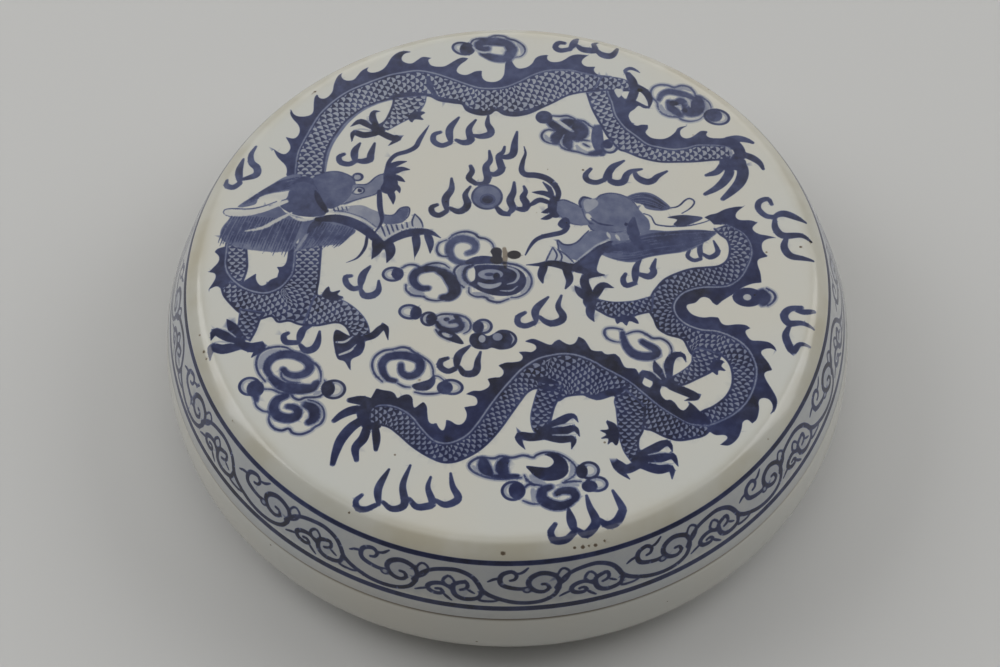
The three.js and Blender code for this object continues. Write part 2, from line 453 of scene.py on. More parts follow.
top.bud(-12.9, 80.9, 7.2, 5.2, -11.9, 80.9, 3.9, -20, 1.25)
cloud(top,
      ["-10.8,82.3 -9.9,84.2 -7.6,84.9 -5.6,84.8 -3.5,86 -0.5,85.7 0.8,84.7 3.2,83.8 5.4,81.8 5.8,79.6"
       " 4.6,77.8 2.8,77.4"],
      [(3.0, "-5.4,80.9 -7.2,80.7 -8.2,82.2 -6.6,83.5 -3,83.6 0.2,82.9 2,81.2 2,78.8"),
       (3.2, "0.4,82.6 1.9,80.2 0.2,78"), (2.7, "2.4,79.2 1.2,77.4 -1,76.8 -3.6,77.2 -5.8,78.2 -7.4,79")],
      0.72, [(1.2, "3.6,82.6 4.8,81 4.8,79")])
pale_gap(top, 0.9, "-10,81.6 -8.6,80 -6.4,79.3 -4.4,79.6")

top.bud(62.4, 54.2, 8.0, 6.2, 61.6, 54.7, 4.9, -15, tone=0.66)
cloud(top,
      ["45.2,57.4 44.8,60 43.6,61.5 43.2,63.5 44,65.5 46,66.5 48.3,66.3 50.3,65.5 52.5,66.2 54.8,65.5"
       " 56.2,63.6 56.5,62.4 58.5,61.6 60.4,59.5 60.8,57 59.5,55.2",
       "44.9,58.6 45.8,56.2 48,54.6 50.8,54.2 52,53.2 54.5,52.6 57,53.2 58.5,54.6"],
      [(2.0, "45.5,60.8 46.5,62.9 48.8,63.9 51.6,63.3 54.4,62.2 57,60.4"),
       (2.5, "48.4,60 49,57.8 50.6,56 52,54.6"), (2.2, "48.6,59.9 50.4,59.6 52,60.3 53,59.4 53,57.4"),
       (4.8, "57.2,60.8 56.8,58.2 55.6,56.6 53.4,55.8")], 0.66,
      [(1.3, "50.8,64.9 53,65.2 55,64.2"), (1.3, "46,58.8 46.8,56.6 49,55.2"),
       (1.2, "59,60 59.8,58 59.2,56.4")], outline_tone=0.55)
top.oval(49.9, 59.4, 2.8, 2.0, 0.8)
top.oval(53.0, 56.8, 1.8, 1.8, 0.84)
pale_gap(top, 0.9, "53.4,61.5 54.4,60 54.7,58")
pale_gap(top, 0.7, "50.2,58.4 51.2,58.2 52,57.5")

top.oval(11.2, 54.4, 5.0, 4.8, 0.8)
cloud(top,
      ["13.8,54.9 16,54.7 18,54.9 19.8,54.1 20.8,53.2", "21.2,53.4 23,52.8 24.4,51.4 25.8,50.2",
       "14.2,49.3 12.4,49.7 10.9,48.8 10.4,47.2 11.2,45.6 13,44.6 15.2,44.2",
       "20.6,45.3 22.4,45.8 24.6,45.4",
       "15.6,46.4 15.6,44.4 16.8,42.7 19.2,41.8 21,41.4 23.4,40.5 26,40.2 28.4,40.6",
       "22.6,44.4 24.4,43.2"],
      [(2.7, "12.2,53.2 14.4,51 16.6,49.2 18.8,48"),
       (4.2, "17.3,52.5 19.8,51.8 21.8,50.2 22,48.2 20.2,47.2 18.2,48"),
       (3.1, "16.4,49 15.2,47.6 14.4,46 14.6,44.8"), (3.0, "18,47.4 18,44.8 18.6,43"),
       (1.8, "24.4,40.8 26.6,41 28.4,42")], 0.8,
      [(1.2, "11.6,47.6 12.2,46.2 13.2,45.4"), (1.4, "20.6,43.8 21.6,42.2 23.4,41.4")])
top.stroke("26.9,50.2 26.8,46 27.4,42.6 28,41", 3.6, 0.62, start=0.8, end=0.7)
top.bud(30.3, 43.4, 5.2, 5.4, 29.8, 44.0, 3.0)
pale_gap(top, 1.3, "15.2,53.2 17,51.3 19.2,49.8", 0.08)

# %% Clouds of the near half
cloud(top,
      ["-16.8,4.2 -18.8,4.5 -20,6.3 -19.4,8.8 -17.2,10",
       "-16.6,10.4 -15,12 -12,12.9 -9.4,12.2 -8,10.8 -6,10.3 -4.3,8.8 -3.6,6.8"],
      [(2.3,
        "-11.4,5.2 -9.4,6.2 -9.1,8.4 -10.8,10 -13.4,10.4 -15.7,9.2 -16.5,6.6 -15.8,4 -14,2.4 -11,1.9")],
      0.64)
top.stroke("-11.6,2.2 -8,2.9 -5.4,3 -3,2.6", 2.8, 0.88, start=0.4, end=0.7)
PIT = "-4.7,5.8 -4,7 -2.4,7.2 -1.5,6.2 -1.6,4.2 -1.2,2.4 -2.6,1.5 -4.2,1.9 -4.9,3.2 -4.1,4.4"
top.wash(PIT, 0.54)
top.wash(PIT, 0.45, iron=True)
top.stroke("-0.8,7 -0.5,4.6 -0.7,2 -0.4,0.2", 1.5, 0.34, start=0.7, end=0.5, iron=True)
top.oval(2.0, 4.7, 3.9, 2.9, 0.45)
top.oval(2.0, 4.7, 3.9, 2.9, 0.64, iron=True)

top.bud(-32.4, -1.8, 6.2, 5.2, -31.0, -1.6, 3.4, 0, 1.2)
cloud(top, ["-29.8,0.4 -28,1.4 -26,1.3 -24.4,0.4 -22.5,1.5 -20,2 -17.8,1.5 -16.4,0.2",
            "-28.6,-5.4 -28.4,-7.4 -26.6,-9 -23.6,-9.5 -22.4,-10.4 -20,-10.9 -17.6,-10.6"],
      [(2.3, "-22.2,-6.6 -24.4,-6.6 -26.3,-4.8 -26.5,-2.4 -25,-0.6 -22.4,0 -19.8,-0.2 -18,-1.2"),
       (3.5, "-19.4,-0.6 -17.4,-1.8 -16,-3.8 -14.9,-6.2 -15,-8.4 -16.4,-9.7 -18.4,-9.8")], 0.84,
      [(1.4, "-27.4,-6.6 -26,-8 -23.6,-8.6"), (1.2, "-24,1 -21.6,1.3 -19,1.3")])
top.wash("-9.2,0.9 -6,1.3 -3,1.1 0.5,0.8 3.6,-0.6 5.3,-3.4 4.8,-6.4 2.6,-8.6 -1,-9.4 -5,-8.8 -8.4,-7.2"
         " -10.6,-5.2 -9.2,-3.8 -9,-1", 0.88)
top.wash("-8.4,-4.6 -6,-5.2 -4,-5.3 -1.6,-4.7 -2.2,-6 -4.4,-6.9 -6.6,-6.7 -8,-5.8", 0.18)
top.oval(-4.7, -2.0, 7.2, 3.6, 0.26)
top.oval(-5.1, -2.0, 2.8, 1.2, 0.72)
top.oval(-3.0, -2.7, 2.0, 2.6, 0.92)
for width, route in ((0.9, "-0.2,0.5 2.2,-0.6 3.2,-2.4 2.2,-4.6 0,-5.4"), (0.6, "-2,-7.6 1,-7.6 3,-6")):
    pale_gap(top, width, route, 0.2)
cloud(top,
      ["-12.2,-6.4 -14,-4.8 -14.6,-2.6 -15,-0.6 -13.6,1.1 -11,1.8",
       "-8.5,2.1 -4,1.9 0.5,1.7 4,0.5 6.3,-2 6.9,-5 5.6,-8 3.2,-9.7 1,-10",
       "0.4,-10.4 -2.4,-11.5 -5,-10.9 -6.4,-9.7 -8.8,-9.6 -10.7,-8.4 -10.8,-6.4"],
      [(1.1, "-9.6,1.2 -11.7,0 -12.2,-2.4 -11.2,-4.6 -9,-6.2")], 0.84,
      [(1.4, "-9.4,-8.4 -6.6,-9 -4,-10.2"), (1.2, "5.8,-3 5.8,-6 4,-8.4"),
       (1.9, "-12.6,0.6 -13.5,-1.2 -13.2,-3.4 -11.8,-5.4")])

top.bud(-27.4, -14.6, 6.4, 5.2, -25.6, -15.0, 3.2, -8, 1.4)
top.bud(-22.0, -17.0, 4.8, 5.0, -21.3, -17.2, 3.0, 0, 1.3)
top.bud(-6.8, -19.6, 5.4, 5.2, -8.2, -19.8, 3.2, 0, 1.3)
top.wash("-19.6,-17 -16,-15.9 -12.6,-16.6 -10.9,-19 -11.6,-21.2 -14,-21.4 -17,-21 -19.4,-19.6", 0.2)
top.stroke("-14.8,-16 -13.6,-17.2 -13,-19", 1.5, 0.84, start=0.5, end=0.6)
cloud(top,
      ["-20.2,-16.4 -18.4,-15.5 -15.6,-15.5 -13,-16 -11,-17.2 -10.2,-19.2 -10.8,-21 -12.2,-21.9",
       "-20,-20.6 -18.6,-22.6 -16,-24.2"],
      [(1.8, "-19.8,-18.2 -18.6,-20 -16,-20.9 -13.4,-20.4 -12.8,-18.8 -14.2,-17.8 -16.2,-18.2")], 0.88)
top.oval(-17.0, -17.2, 1.8, 1.3, 0.85)
top.wash("-19.2,-21 -17,-21.2 -14.8,-21.8 -13.2,-23.4 -12.2,-25.4 -14.4,-25 -16.8,-23.8 -18.4,-22.6", 0.9)
top.wash("-18.4,-21.6 -16.8,-21.8 -15.4,-22.8 -16.4,-23.3 -17.8,-22.7", 0.1)
top.wash("-10,-22.2 -10.6,-24.6 -9,-26.8 -6,-27.2 -4.4,-26.6 -2,-27.3 1,-26.7 2.6,-24.6 2.2,-22.4 0.4,-21"
         " -2,-20.8 -3.6,-21.8 -5.4,-22.8 -7.6,-21.8", 0.92)
top.oval(-7.1, -23.7, 2.0, 2.6, 0.16)
top.oval(-2.8, -23.1, 2.8, 2.6, 0.28)
top.stroke("0.8,-22 1.7,-23.8 0.9,-25.8", 0.6, 0.2, cover=True)

cloud(top,
      ["-34.4,-37.6 -36.4,-35.4 -37.4,-32.4 -36.8,-29.6 -34.5,-27.6 -31.5,-27 -29.5,-26.4 -27.6,-26.7"
       " -26,-28 -23.6,-29.6 -21.4,-31.6 -20.6,-33.8 -20.4,-35.6 -19,-36 -17.4,-37.4",
       "-30.2,-38.2 -28.4,-39.2 -26.8,-39.4", "-25.5,-41 -23,-41.6 -20,-41.5 -17.5,-41"],
      [(2.4, "-29.5,-32 -29.2,-34.6 -27.4,-35.8 -25.3,-35.2 -24.1,-33.2 -24.5,-30.8 -27,-29.4 -30,-29"
        " -33,-29.6 -34.6,-31.6 -34.4,-34.2 -33,-36.6 -30.8,-37.4")], 0.9)
top.wash("-26.2,-38.6 -24,-37.8 -21.8,-37 -20.3,-35.6 -20,-38 -21.6,-40.2 -24.4,-40.5 -25.9,-39.7", 0.84)
top.bud(-15.5, -39.4, 6.8, 5.2, -17.3, -39.6, 4.4, -10)

top.bud(-70.8, -38.9, 6.4, 6.2, -69.2, -39.7, 4.8, 0, 1.1)
top.bud(-47.7, -40.0, 6.8, 6.4, -49.3, -39.7, 3.8, 0, 1.3)
cloud(top,
      ["-66.6,-37.4 -68.6,-34.6 -69.4,-31.5 -68.8,-28.5 -66.8,-26.7 -63.8,-26 -61.4,-26.3 -59.7,-27.4"
       " -58.2,-28.9", "-57,-29.9 -54.6,-30.8 -52.6,-32.2 -51.5,-34.6 -51.4,-37.4",
       "-62.4,-34.6 -62,-36.2 -60,-37.5 -57,-37.8", "-66.8,-39.8 -64.6,-40 -62.5,-41 -59.6,-41.3"
       " -58.6,-42.6 -57,-43.3 -55.4,-42.6 -52,-42.4 -50.2,-41 -49.7,-39 -50.4,-37",
       "-69.3,-43 -68.6,-45.3 -66.8,-46.8 -65,-47.4 -65,-49.8 -63.8,-52 -61.5,-53 -59.5,-52.4 -58.3,-53.8"
       " -56,-54.2 -53.5,-53.1 -52.5,-52 -50.6,-50.6 -50,-48 -50.8,-45.4 -52.6,-43.9 -54.6,-43.3"],
      [(2.5, "-62,-33.4 -60.5,-35 -58,-35.5 -55.5,-34.6 -54.6,-32.8 -55.4,-30.8 -58,-29.1 -61,-28.5"
        " -64,-29.1 -66,-31 -66.4,-33.4 -65.2,-35.6 -63.6,-37.4"),
       (3.3, "-64.8,-36.4 -62,-38.8 -58,-39.7 -54,-39.6 -52.4,-37.8"),
       (2.8, "-60.6,-42 -63,-43.2 -63.9,-45.8 -62.8,-48.2 -60,-49.2 -57.7,-48.5 -57.2,-46.9 -58.4,-45.7"
        " -60.2,-45.4"), (3.0, "-55.4,-44.8 -53.2,-46 -52.5,-48 -53.2,-49.8 -54.4,-50.6"),
       (1.7, "-69.2,-40.6 -68.9,-42.4 -68.6,-43.6")], 0.86,
      [(1.5, "-62.2,-36 -60,-37 -57.4,-37.2"), (1.3, "-51.6,-45.6 -51,-48 -51.7,-50.2"),
       (1.6, "-68.2,-33 -68,-30 -66.2,-28 -63,-27.3"), (1.2, "-53,-41.5 -51.2,-40.6")])

top.bud(21.5, -65.8, 6.0, 5.6, 19.6, -66.1, 3.2, 0, 1.35)
top.bud(23.5, -70.0, 6.4, 5.0, 21.6, -70.7, 4.2, 0, 0.85)
top.bud(1.2, -72.0, 6.6, 6.2, 2.2, -71.9, 4.3, 0, 1.2)
cloud(top,
      ["3.4,-68 -2,-68.4 -6,-67.8 -9.5,-66 -10.6,-63.8 -8,-61.8 -4,-62 -2,-61.3 1,-61.8 4,-61.1 6.6,-61.8"
       " 7.6,-61 10,-60.2 13.5,-60.7 16.5,-62.7 18.1,-65 17.5,-67.4 15,-69.2", "3.8,-75 6,-75.9 8,-76",
       "4.2,-67.2 5,-68.8 6.6,-70 9,-70.4", "4.4,-70.8 5.6,-70 7,-70.4", "14.4,-69.6 17,-69.2 19.4,-69.2"],
      [(3.4, "-6.8,-62.4 -6.4,-64.8 -4.9,-66.8"), (3.4, "-0.8,-62.4 -1.8,-64.8 -0.6,-67.6"),
       (1.4, "-4.4,-67.5 -1,-67.6 2.6,-67.4"), (2.3, "12.6,-73 14.4,-72 17,-72.2 17.8,-74 16.4,-75.8"),
       (3.0, "16.6,-75.4 14,-76.6 10.8,-76 8.8,-74.2 9.2,-71.8 11.4,-70.8")], 0.92,
      [(2.0, "6,-67.4 7.4,-69 9.4,-69.8"), (1.8, "6.4,-71.6 6.8,-73.4 6.6,-75"),
       (1.4, "16.9,-63.6 17.2,-65.6 16.4,-67.8"), (1.2, "13,-70.4 16,-70 18.6,-70.4"),
       (1.3, "-9.4,-64.4 -8,-66.2 -5.6,-67.2")])
top.wash("4.8,-64.4 8.4,-64.8 10.8,-64.8 12.2,-63.4 11.6,-61.9 9.8,-60.8 12.6,-60.6 15,-62.2 16,-64.6"
         " 15.6,-67 13.4,-68.6 10,-68.9 7.4,-67.8 5.6,-65.8", 0.92)

cloud(top,
      ["32,-20.9 29.5,-20.3 27.4,-20.6 26.9,-22.2 28,-24 30,-24.9 31.4,-25",
       "33,-22.4 35,-21.6 37,-21.6 39,-22.8 40.4,-23.8 42.6,-23.9 44.6,-25.4 45.4,-27.6 45,-29.6"],
      [(2.5, "37.2,-24.8 38.8,-26 40.6,-27.2 41.2,-28.8 39.6,-29.7 37,-29.7 34.6,-28.7 33,-26.6 32.2,-24"
        " 32,-22")], 0.84)
top.oval(67.6, -10.2, 8.6, 6.4, 0.88)
cloud(top, ["73,-7.2 74.8,-8.6 75.3,-10.4 74.2,-12.2 72.8,-13.2"],
      [(2.8, "71.6,-8.2 72.5,-9.8 72.3,-11.4 71.4,-12.6")], 0.86)
top.oval(67.4, -10.2, 2.4, 2.2, 0.1)
print("clouds painted,", len(top.marks), "marks so far")

# %% [markdown]
# Each dragon is one long body. A pale line runs along its back: scales hang below it and a dark hooked fin
# stands above it. The scales are not separate marks. The body only stores how far along its middle line and
# how far to one side of it each point lies, and the glaze's shader draws the lattice of scales from those
# two lengths, so it bends with the body as the painter's lattice does.

# %% The upper dragon: body, fin and tail
BACK_ONE = ("-61.6,30.4 -61.5,37.5 -61,42 -60,45 -58,50 -55.5,55.5 -53,59 -50,62.2 -46.5,65 -42.5,67.2"
            " -38.5,69.2 -35,70.7 -31,71.7 -26.5,72.4 -22,71.5 -17,69.5 -12,67.2 -8,65.7 -4,65.4 0,66 4,68"
            " 8,70.5 12,72.1 16,72.5 20,72.2 24,71 28,70 31.5,69.6")
TAIL_ONE = ("30.2,65.5 30.6,63 31.5,60 32.5,55 35,50.5 38,47.5 41.5,44.2 45,43 49,42.2 53,42.7 56,43.7"
            " 60,43.7 63.5,43.4 66,42.4")
top.stroke("-54.2,34 -53.6,40 -52.4,45 -49.8,50.4 -47,54.6 -43,58.4 -38,61 -33,62.4", 3.2, 0.42, start=0.9,
           end=0.6)
top.scales(TAIL_ONE, "24.2,63.4 25.5,58 27,54 28.5,50.5 30,47 33,42.5 35,41.5 40,39 45,37.7 50,37.6 55,37.7"
           " 60,38.2 64,38.4 66,39")
top.scales(BACK_ONE, "-54,30.4 -53.4,36 -53.2,40 -52,45 -49.4,50.4 -46.4,54.6 -42.4,58.2 -37.5,60.7 -33,62"
           " -28,62.8 -23,62.7 -20,61 -15.5,60 -13,59.5 -11.5,57 -8,55.5 -5,55.7 -3,57.2 -0.5,55.5 3,55"
           " 7,56 10.5,58 14,60 18,62.5 21,63.5 25,64.2 30,64.6")
for border in ("-23.4,70 -22.6,66 -20.8,62.6", "-22.4,63 -19,61.2 -15.5,60.7 -13.2,60.2",
               "-12.6,59.4 -11,57.4 -8,56.2 -5.2,56.4 -3.4,58",
               "-2.6,57.6 -0.3,56.2 3,55.7 7,56.8 10.5,58.8"):
    top.stroke(border, 1.7, 0.8, start=0.5, end=0.5)
top.fin(BACK_ONE, "-64.2,33.4 -64,35 -64.6,37 -67,40 -68.4,43^ -66.5,41.5 -65,41 -64,41.8 -63.4,43"
        " -63.6,44.6 -65,47.4^ -62.6,46.8 -61.3,48 -60.9,50 -61.5,52 -63,54 -64,56 -63.9,57.8^ -63.2,56.2"
        " -62,55.2 -60,55 -58,55.6 -57.2,57 -57.2,60 -57,62.4 -56.3,63.5^ -55.8,62.2 -54.5,61.7 -53,62.5"
        " -51.8,64.5 -51.5,67 -51,69 -50.3,70.8 -49.3,71.9^ -49.4,70.4 -48.8,69.2 -47.4,68.6 -45.6,69"
        " -44.5,70.5 -43.6,72 -42.6,73 -41.3,73.8^ -41.8,72.6 -40.8,71.7 -39,71.8 -37,72.9 -35.8,74.6"
        " -34.5,77.4 -32.8,79.3 -30.8,80.1 -28.5,79.7^ -30.6,79 -31.5,77.3 -31,76 -29.5,75.2 -28,75.3"
        " -26.5,76.6 -25,77.7 -22.4,77.3^ -23.4,76.6 -23.2,75.6 -22.6,74.5 -21,73.9 -18.5,74 -16.5,75.3"
        " -14.5,76.8 -13,77.4 -11.3,77.1^ -12.2,76 -13.4,75 -14.5,73.5 -14.8,72 -13.6,70.9 -12,70.6"
        " -10.5,71.2 -9.2,72 -7.2,72.3^ -7.3,71 -7.2,69.8 -6.4,68.5 -5,67.9 -3.2,67.9 -1.6,68.8 -0.6,70.5"
        " -0.3,73 0,75.4 1.4,77^ 2.2,75 3.2,73.4 4.5,73 6.5,73.6 8,75 9,77 10.5,78 12.7,78.3^ 12.4,77"
        " 13,75.9 14.5,75.4 16.5,75.7 18,76.6 19.5,77.8 21.5,78.4 25,78.1^ 23.8,77.2 23,76.2 22.8,75.2"
        " 23.4,74.2 24.6,73.6 27,73.6^ 26.4,72.6 26.8,71.3 28,70.3 29.8,69.7")
top.fin(TAIL_ONE, "31,66 33.2,64 35.4,61 36.6,58.4 36.2,55 37,52.4 38.5,51 40,51.4 41.8,51.3^ 41.8,50"
        " 41,48.6 42,47 43.5,46.2 46,46 48,46.8 49.8,48.5 50.8,50.2 53.4,50.9^ 51.6,49.6 51.2,48.4 51.5,47"
        " 52.8,46.2 54.5,46.6 56,47.8 57.5,49 59.5,48.8^ 58.8,47.6 59.3,46.8 60.5,46.3 63,46.2 65,46.4")
top.spine(BACK_ONE)
top.spine(TAIL_ONE)
top.wash("64.6,46.4 67.4,45.8 69.6,43 70,39.6 68,37 66,37.4 66.8,41 65.2,43.6", 0.88)
top.wash("62.4,38 66,38.6 69.6,38.4 69.8,35.4 67.6,34 66.6,34.6 65,34 63,35", 0.8)
top.strokes(0.78, (2.3, "65,45.8 68,46.1 70.6,45.5 72.5,44.5"), (2.2, "69,40.4 72,38.9 74,37 74.9,34.8"),
            (3.4, "66.8,39 68.6,36 68.8,33 67.6,29.8 65.2,26.8 62.4,24"),
            (2.8, "64.5,38.6 65,34 63.2,30.4 60.6,27.8 57.4,25.8"), (2.2, "63.6,37.4 61.5,34 58,32.6"),
            start=0.8, end=0.4, belly=0.35)
top.line("64.5,43 66.2,41 65.5,38.8", 0.6, 0.2, cover=True)

# %% The upper dragon: legs
top.scales("-23.6,63 -24,60 -25.4,57 -28,54.4 -31,52.4 -35,49.6",
           "-33.4,62 -33.6,59.5 -34.6,56 -36,53 -38.4,51.2", 0.54)
top.wash("-29,55 -26.8,56.8 -24,56.4 -25.4,55 -24.4,53.6 -27,53.8 -28,52.6", 0.86)
top.stroke("-34.4,62.4 -29,63.4 -23,63.2", 1.5, 0.8, start=0.5, end=0.5)
top.oval(-37.8, 49.8, 4.2, 3.6, 0.86)
top.claws("-38.3,51 -39.5,54 -39.3,56.6 -37.4,56.9", "-39,50.8 -42,52.6 -43.6,53 -46,51.2",
          "-38.6,48.6 -42,48 -45,48.9 -45.5,45.6", "-37,48.8 -33.5,46.9 -31.7,46.9 -34.7,44",
          gaps=("-39.8,52 -41,53.6 -41.2,55", "-39.8,49.6 -42.4,50.2 -45,50"))
top.scales("29,70 32,69.7 35,69 37.4,67.6", "26,64.4 29.5,64.6 33,64.4 36.8,64.4", 0.58)
top.wash("34.4,61.2 36.4,61 38.4,60.6 40.6,59.2 42.6,57.8 41,57.6 39.4,58.6 38.2,57.4 36.8,56.2 36,55"
         " 34.6,57.6", 0.8)
top.stroke("38.4,63.4 37.9,67.6 36.6,70.8", 2.8, 0.88, start=0.7, end=0.6)
top.stroke("39.2,65.6 38.6,62.6 37.8,60", 1.6, 0.84, start=0.8, end=0.5)
top.stroke("38.5,66 37.5,62 35.4,58.2", 2.5, 0.88, start=0.8, end=0.3)
top.wash("32.3,64.8 34.9,64.6 33.6,61.6", 0.04, cover=True)
top.stroke("36.4,70.4 35.8,72 37.4,72.9 39,72.2 40.2,71.2", 1.2, 0.66, start=0.7, end=0.2)
top.claws("39.6,65.6 41.9,63.4 42.8,60.4 42.4,57.4")
LOOP_ONE = "-79.9,9 -80,5 -80,2 -79.2,-1 -77,-4 -73.5,-6.7 -68.5,-8 -64.5,-6.5 -62,-3.5 -60.7,0 -60.5,9"
top.scales("-79.8,9 -80,2 -79.2,-1 -77,-4 -75.4,-5.4", "-74.6,9 -73.8,2 -74,-1 -74.6,-3.4 -74.8,-5", 0.58,
           size=2.3)
top.scales("-81,-4.6 -77,-4 -73.5,-6.7 -68.5,-8 -64.5,-6.5 -62,-3.5 -60.7,0 -60.5,9",
           "-80.6,-6 -79.6,-9 -77,-12.4 -74.5,-14.8 -70,-16.8 -66,-15.8 -64,-17.8 -61,-17.4 -58,-18.6"
           " -54,-18.9 -51,-16 -53.6,-9 -53.3,-3 -53,9", 0.58, size=2.3)
top.scales("-54,-8.6 -50,-9.4 -46,-10.6 -42.4,-13.4 -40,-16.4 -38.6,-19.6 -38.2,-23",
           "-57,-18.6 -53,-19 -48,-18 -45.4,-19 -43.8,-21.6 -43.2,-24.4", 0.58, size=2.3)
top.scales("-75,-13.4 -75.2,-17 -75.3,-20.5 -75,-23.6", "-68.4,-14.6 -69.4,-17.4 -70.2,-20.6 -71.6,-24",
           0.62, size=2.3)
top.fin("-79.9,9 -80.1,4 -79.7,0 -78,-3 -79.6,-6", "-80.4,8 -82.4,7.3 -83.3,6.2^ -81.9,4.6 -82,2.6"
        " -83.4,0.6 -84.5,-0.8^ -82.8,-1.2 -82.4,-2.6 -83,-4.4 -84.2,-6.8^ -82,-5.6 -80.6,-6.6")
top.fin("-76,-5 -73.5,-6.7 -68.5,-8 -64.5,-6.5 -62,-3.5 -60.7,0 -60.6,9",
        "-74.6,-4.4 -73.4,-3.2 -71,-1.3^ -71.1,-3 -70.4,-4.7 -69.4,-5.6 -68,-5 -66.9,-3.6 -65,-2.7^"
        " -64.8,-1.4 -64.6,-0.4 -65.4,0.9^ -63.6,1 -62.6,3 -62.2,9")
top.spine(LOOP_ONE)
top.wash("-52,-9.4 -51.6,-7.4 -50.3,-5.9 -49.6,-7.8 -47,-7.2 -47.8,-8.7 -46,-9.6 -48.4,-10.8", 0.92)
top.oval(-74.6, -24.6, 3.6, 3.4, 0.9)
top.claws("-74.8,-22.6 -77,-19 -78.4,-16.8", "-75.2,-24 -79,-22 -81.5,-21 -82.4,-23.8",
          "-74.8,-25.8 -79,-26.8 -82,-26.2 -82.4,-30.2", "-73.5,-25.5 -71,-26.3 -68.3,-26 -70.9,-29.5",
          gaps=("-75.5,-22.8 -78,-20.8 -81,-19.6", "-76,-24.9 -79.5,-24.3 -82,-24.6"), width=3.1)
top.wash("-47.5,-20.5 -43.8,-22.6 -40.6,-22.6 -39.6,-25.4 -40.6,-28.6 -43.2,-30.4 -43.4,-33.7 -45,-31"
         " -47,-30 -48,-26.4 -48.4,-22.6", 0.9)
top.stroke("-47.6,-24.6 -45.2,-24.5 -43,-22.7", 0.8, 0.08, start=0.8, end=0.3, cover=True)
top.stroke("-46.6,-28.8 -43.6,-27.4 -42,-25.4", 0.8, 0.08, start=0.8, end=0.3, cover=True)
top.claws("-40.6,-23.6 -37.4,-22.4 -35.4,-20.2 -34,-19.8 -33.2,-24")
print("upper dragon's body painted,", len(top.marks), "marks")

# %% The upper dragon: head and mane
top.wash("-79,18.4 -81.8,14.4 -81.8,11 -79.2,8.8 -75,7.2 -70,6.4 -65.6,6 -61.8,6.6 -60.2,9.2 -58,14"
         " -57.6,17 -60,18.4 -63.6,19.8 -66.5,22.4 -72,19.8 -76,18.8", 0.42)
top.streaks("-79.4,19 -81.6,13.8 -83.2,8.4", "-58.6,17 -60.4,11 -62.4,3.8", 27, 0.72, 0.72, 0.06, ragged=0.16)
top.wash("-57.6,17 -54,17.6 -50,17.6 -46,15.8 -43.4,13.4 -44.6,11.6 -46.8,9.8 -49,8.6 -52,8.2 -55,8"
         " -59.8,6.6 -59.4,10.4", 0.48)
top.streaks("-43.6,14 -45.4,10.8 -48.4,7.2", "-55.4,16.8 -57.4,11.6 -60,6.4", 15, 0.75, 0.72, 0.06,
            ragged=0.2)
top.stroke("-56.8,13 -58.4,9.8 -60.4,6.2", 1.0, 0.28, start=0.4, end=0.5, cover=True)
top.wash("-77.6,22 -73.5,25.8 -68.5,29.8 -64,33 -60,33.4 -60.5,29 -64,27.6 -68,26.8 -71.6,25.4 -72.8,22.8",
         0.44)
top.streaks("-60.5,32.8 -66,31.2 -72,26.8 -78,21.8", "-61.5,28.8 -66,27.8 -70,26.6 -73.4,23.4", 8, 0.62,
            0.76, 0.1)
top.wash("-62.7,31 -59,32.6 -56,31.5 -54.8,27 -52,20 -55,18.4 -60,18.8 -63.4,20.4 -65.6,23 -63.2,27", 0.6)
top.stroke("-62,30.4 -59,32 -55.8,30.4 -54.9,28", 2.0, 0.72, start=0.4, end=0.4)
top.wash("-71.8,25.2 -69.5,26.2 -66,26.8 -63.4,27.4 -63.6,25.2 -65,24.4 -68,24.6 -70.4,24.4", 0.03,
         cover=True)
top.stroke("-63.4,24 -67,22.5 -71,20.9 -75,19.9 -78,19.7 -80.6,20.2", 2.3, 0.03, start=0.45, end=0.85,
           belly=0.6, cover=True)
top.line("-66.5,23.9 -70,22.3 -74,21.3 -79.4,21.4 -81.3,21 -81.6,20.1 -81,19.1 -79.6,18.6", 0.42, 0.62)
top.stroke("-62,19.8 -66.5,16.9 -70,14.6 -75,13.4", 1.3, 0.06, start=0.5, end=0.3, cover=True)
top.stroke("-62.6,19 -59,17.3 -54.6,17.8", 1.1, 0.05, start=0.3, end=0.3, cover=True)
top.wash("-54.8,26.5 -56.4,31.6 -54,33.8 -50,34.5 -47,33.7 -45,32.2 -43.8,29.6 -44.4,26.4 -47.5,23"
         " -50.4,21.2 -53,22.4", 0.58)
top.line("-54.6,27.6 -56.4,31.6 -54,33.8 -50,34.6 -47,33.8 -44.8,32.2 -43.7,29.4", 0.5, 0.74)
top.stroke("-55.4,27.6 -54.2,24.2 -52,20.4", 1.9, 0.9, start=0.4, end=0.7)
top.wash("-44.5,29.7 -40.6,29.8 -38,32.4 -36,33.4 -33.8,32.6 -33,28.4 -36.8,27.6 -38.5,26 -42,24.8 -47,22.6"
         " -45,26.4", 0.36)
top.line("-44.2,29.9 -40.6,30 -38,32.6 -36,33.6 -34,32.8", 0.45, 0.74)
top.line("-47.6,22.8 -42,24.9 -38.5,26.1 -36.9,27.6", 0.45, 0.74)
top.oval(-43.3, 32.6, 3.4, 3.1, 0.82)
top.oval(-43.4, 32.5, 2.1, 1.9, 0.2, cover=True)
top.oval(-43.1, 27.6, 3.0, 2.2, 0.08, -20, cover=True)
top.line("-44.8,26.7 -43.4,28.8 -41.5,28.4 -41.5,27 -43.3,26.3 -44.8,26.7", 0.42, 0.85)
top.oval(-42.6, 27.7, 1.3, 1.3, 0.95)
top.wash("-46.2,22 -42,22.4 -39,21 -36.2,19.2 -36.4,15.8 -38.6,13.8 -41,16.2 -45,18.8 -50,19.8 -48,20.8",
         0.28)
top.stroke("-51,20.2 -48.4,21.4 -45.6,21.6", 1.3, 0.08, start=0.4, end=0.4, cover=True)
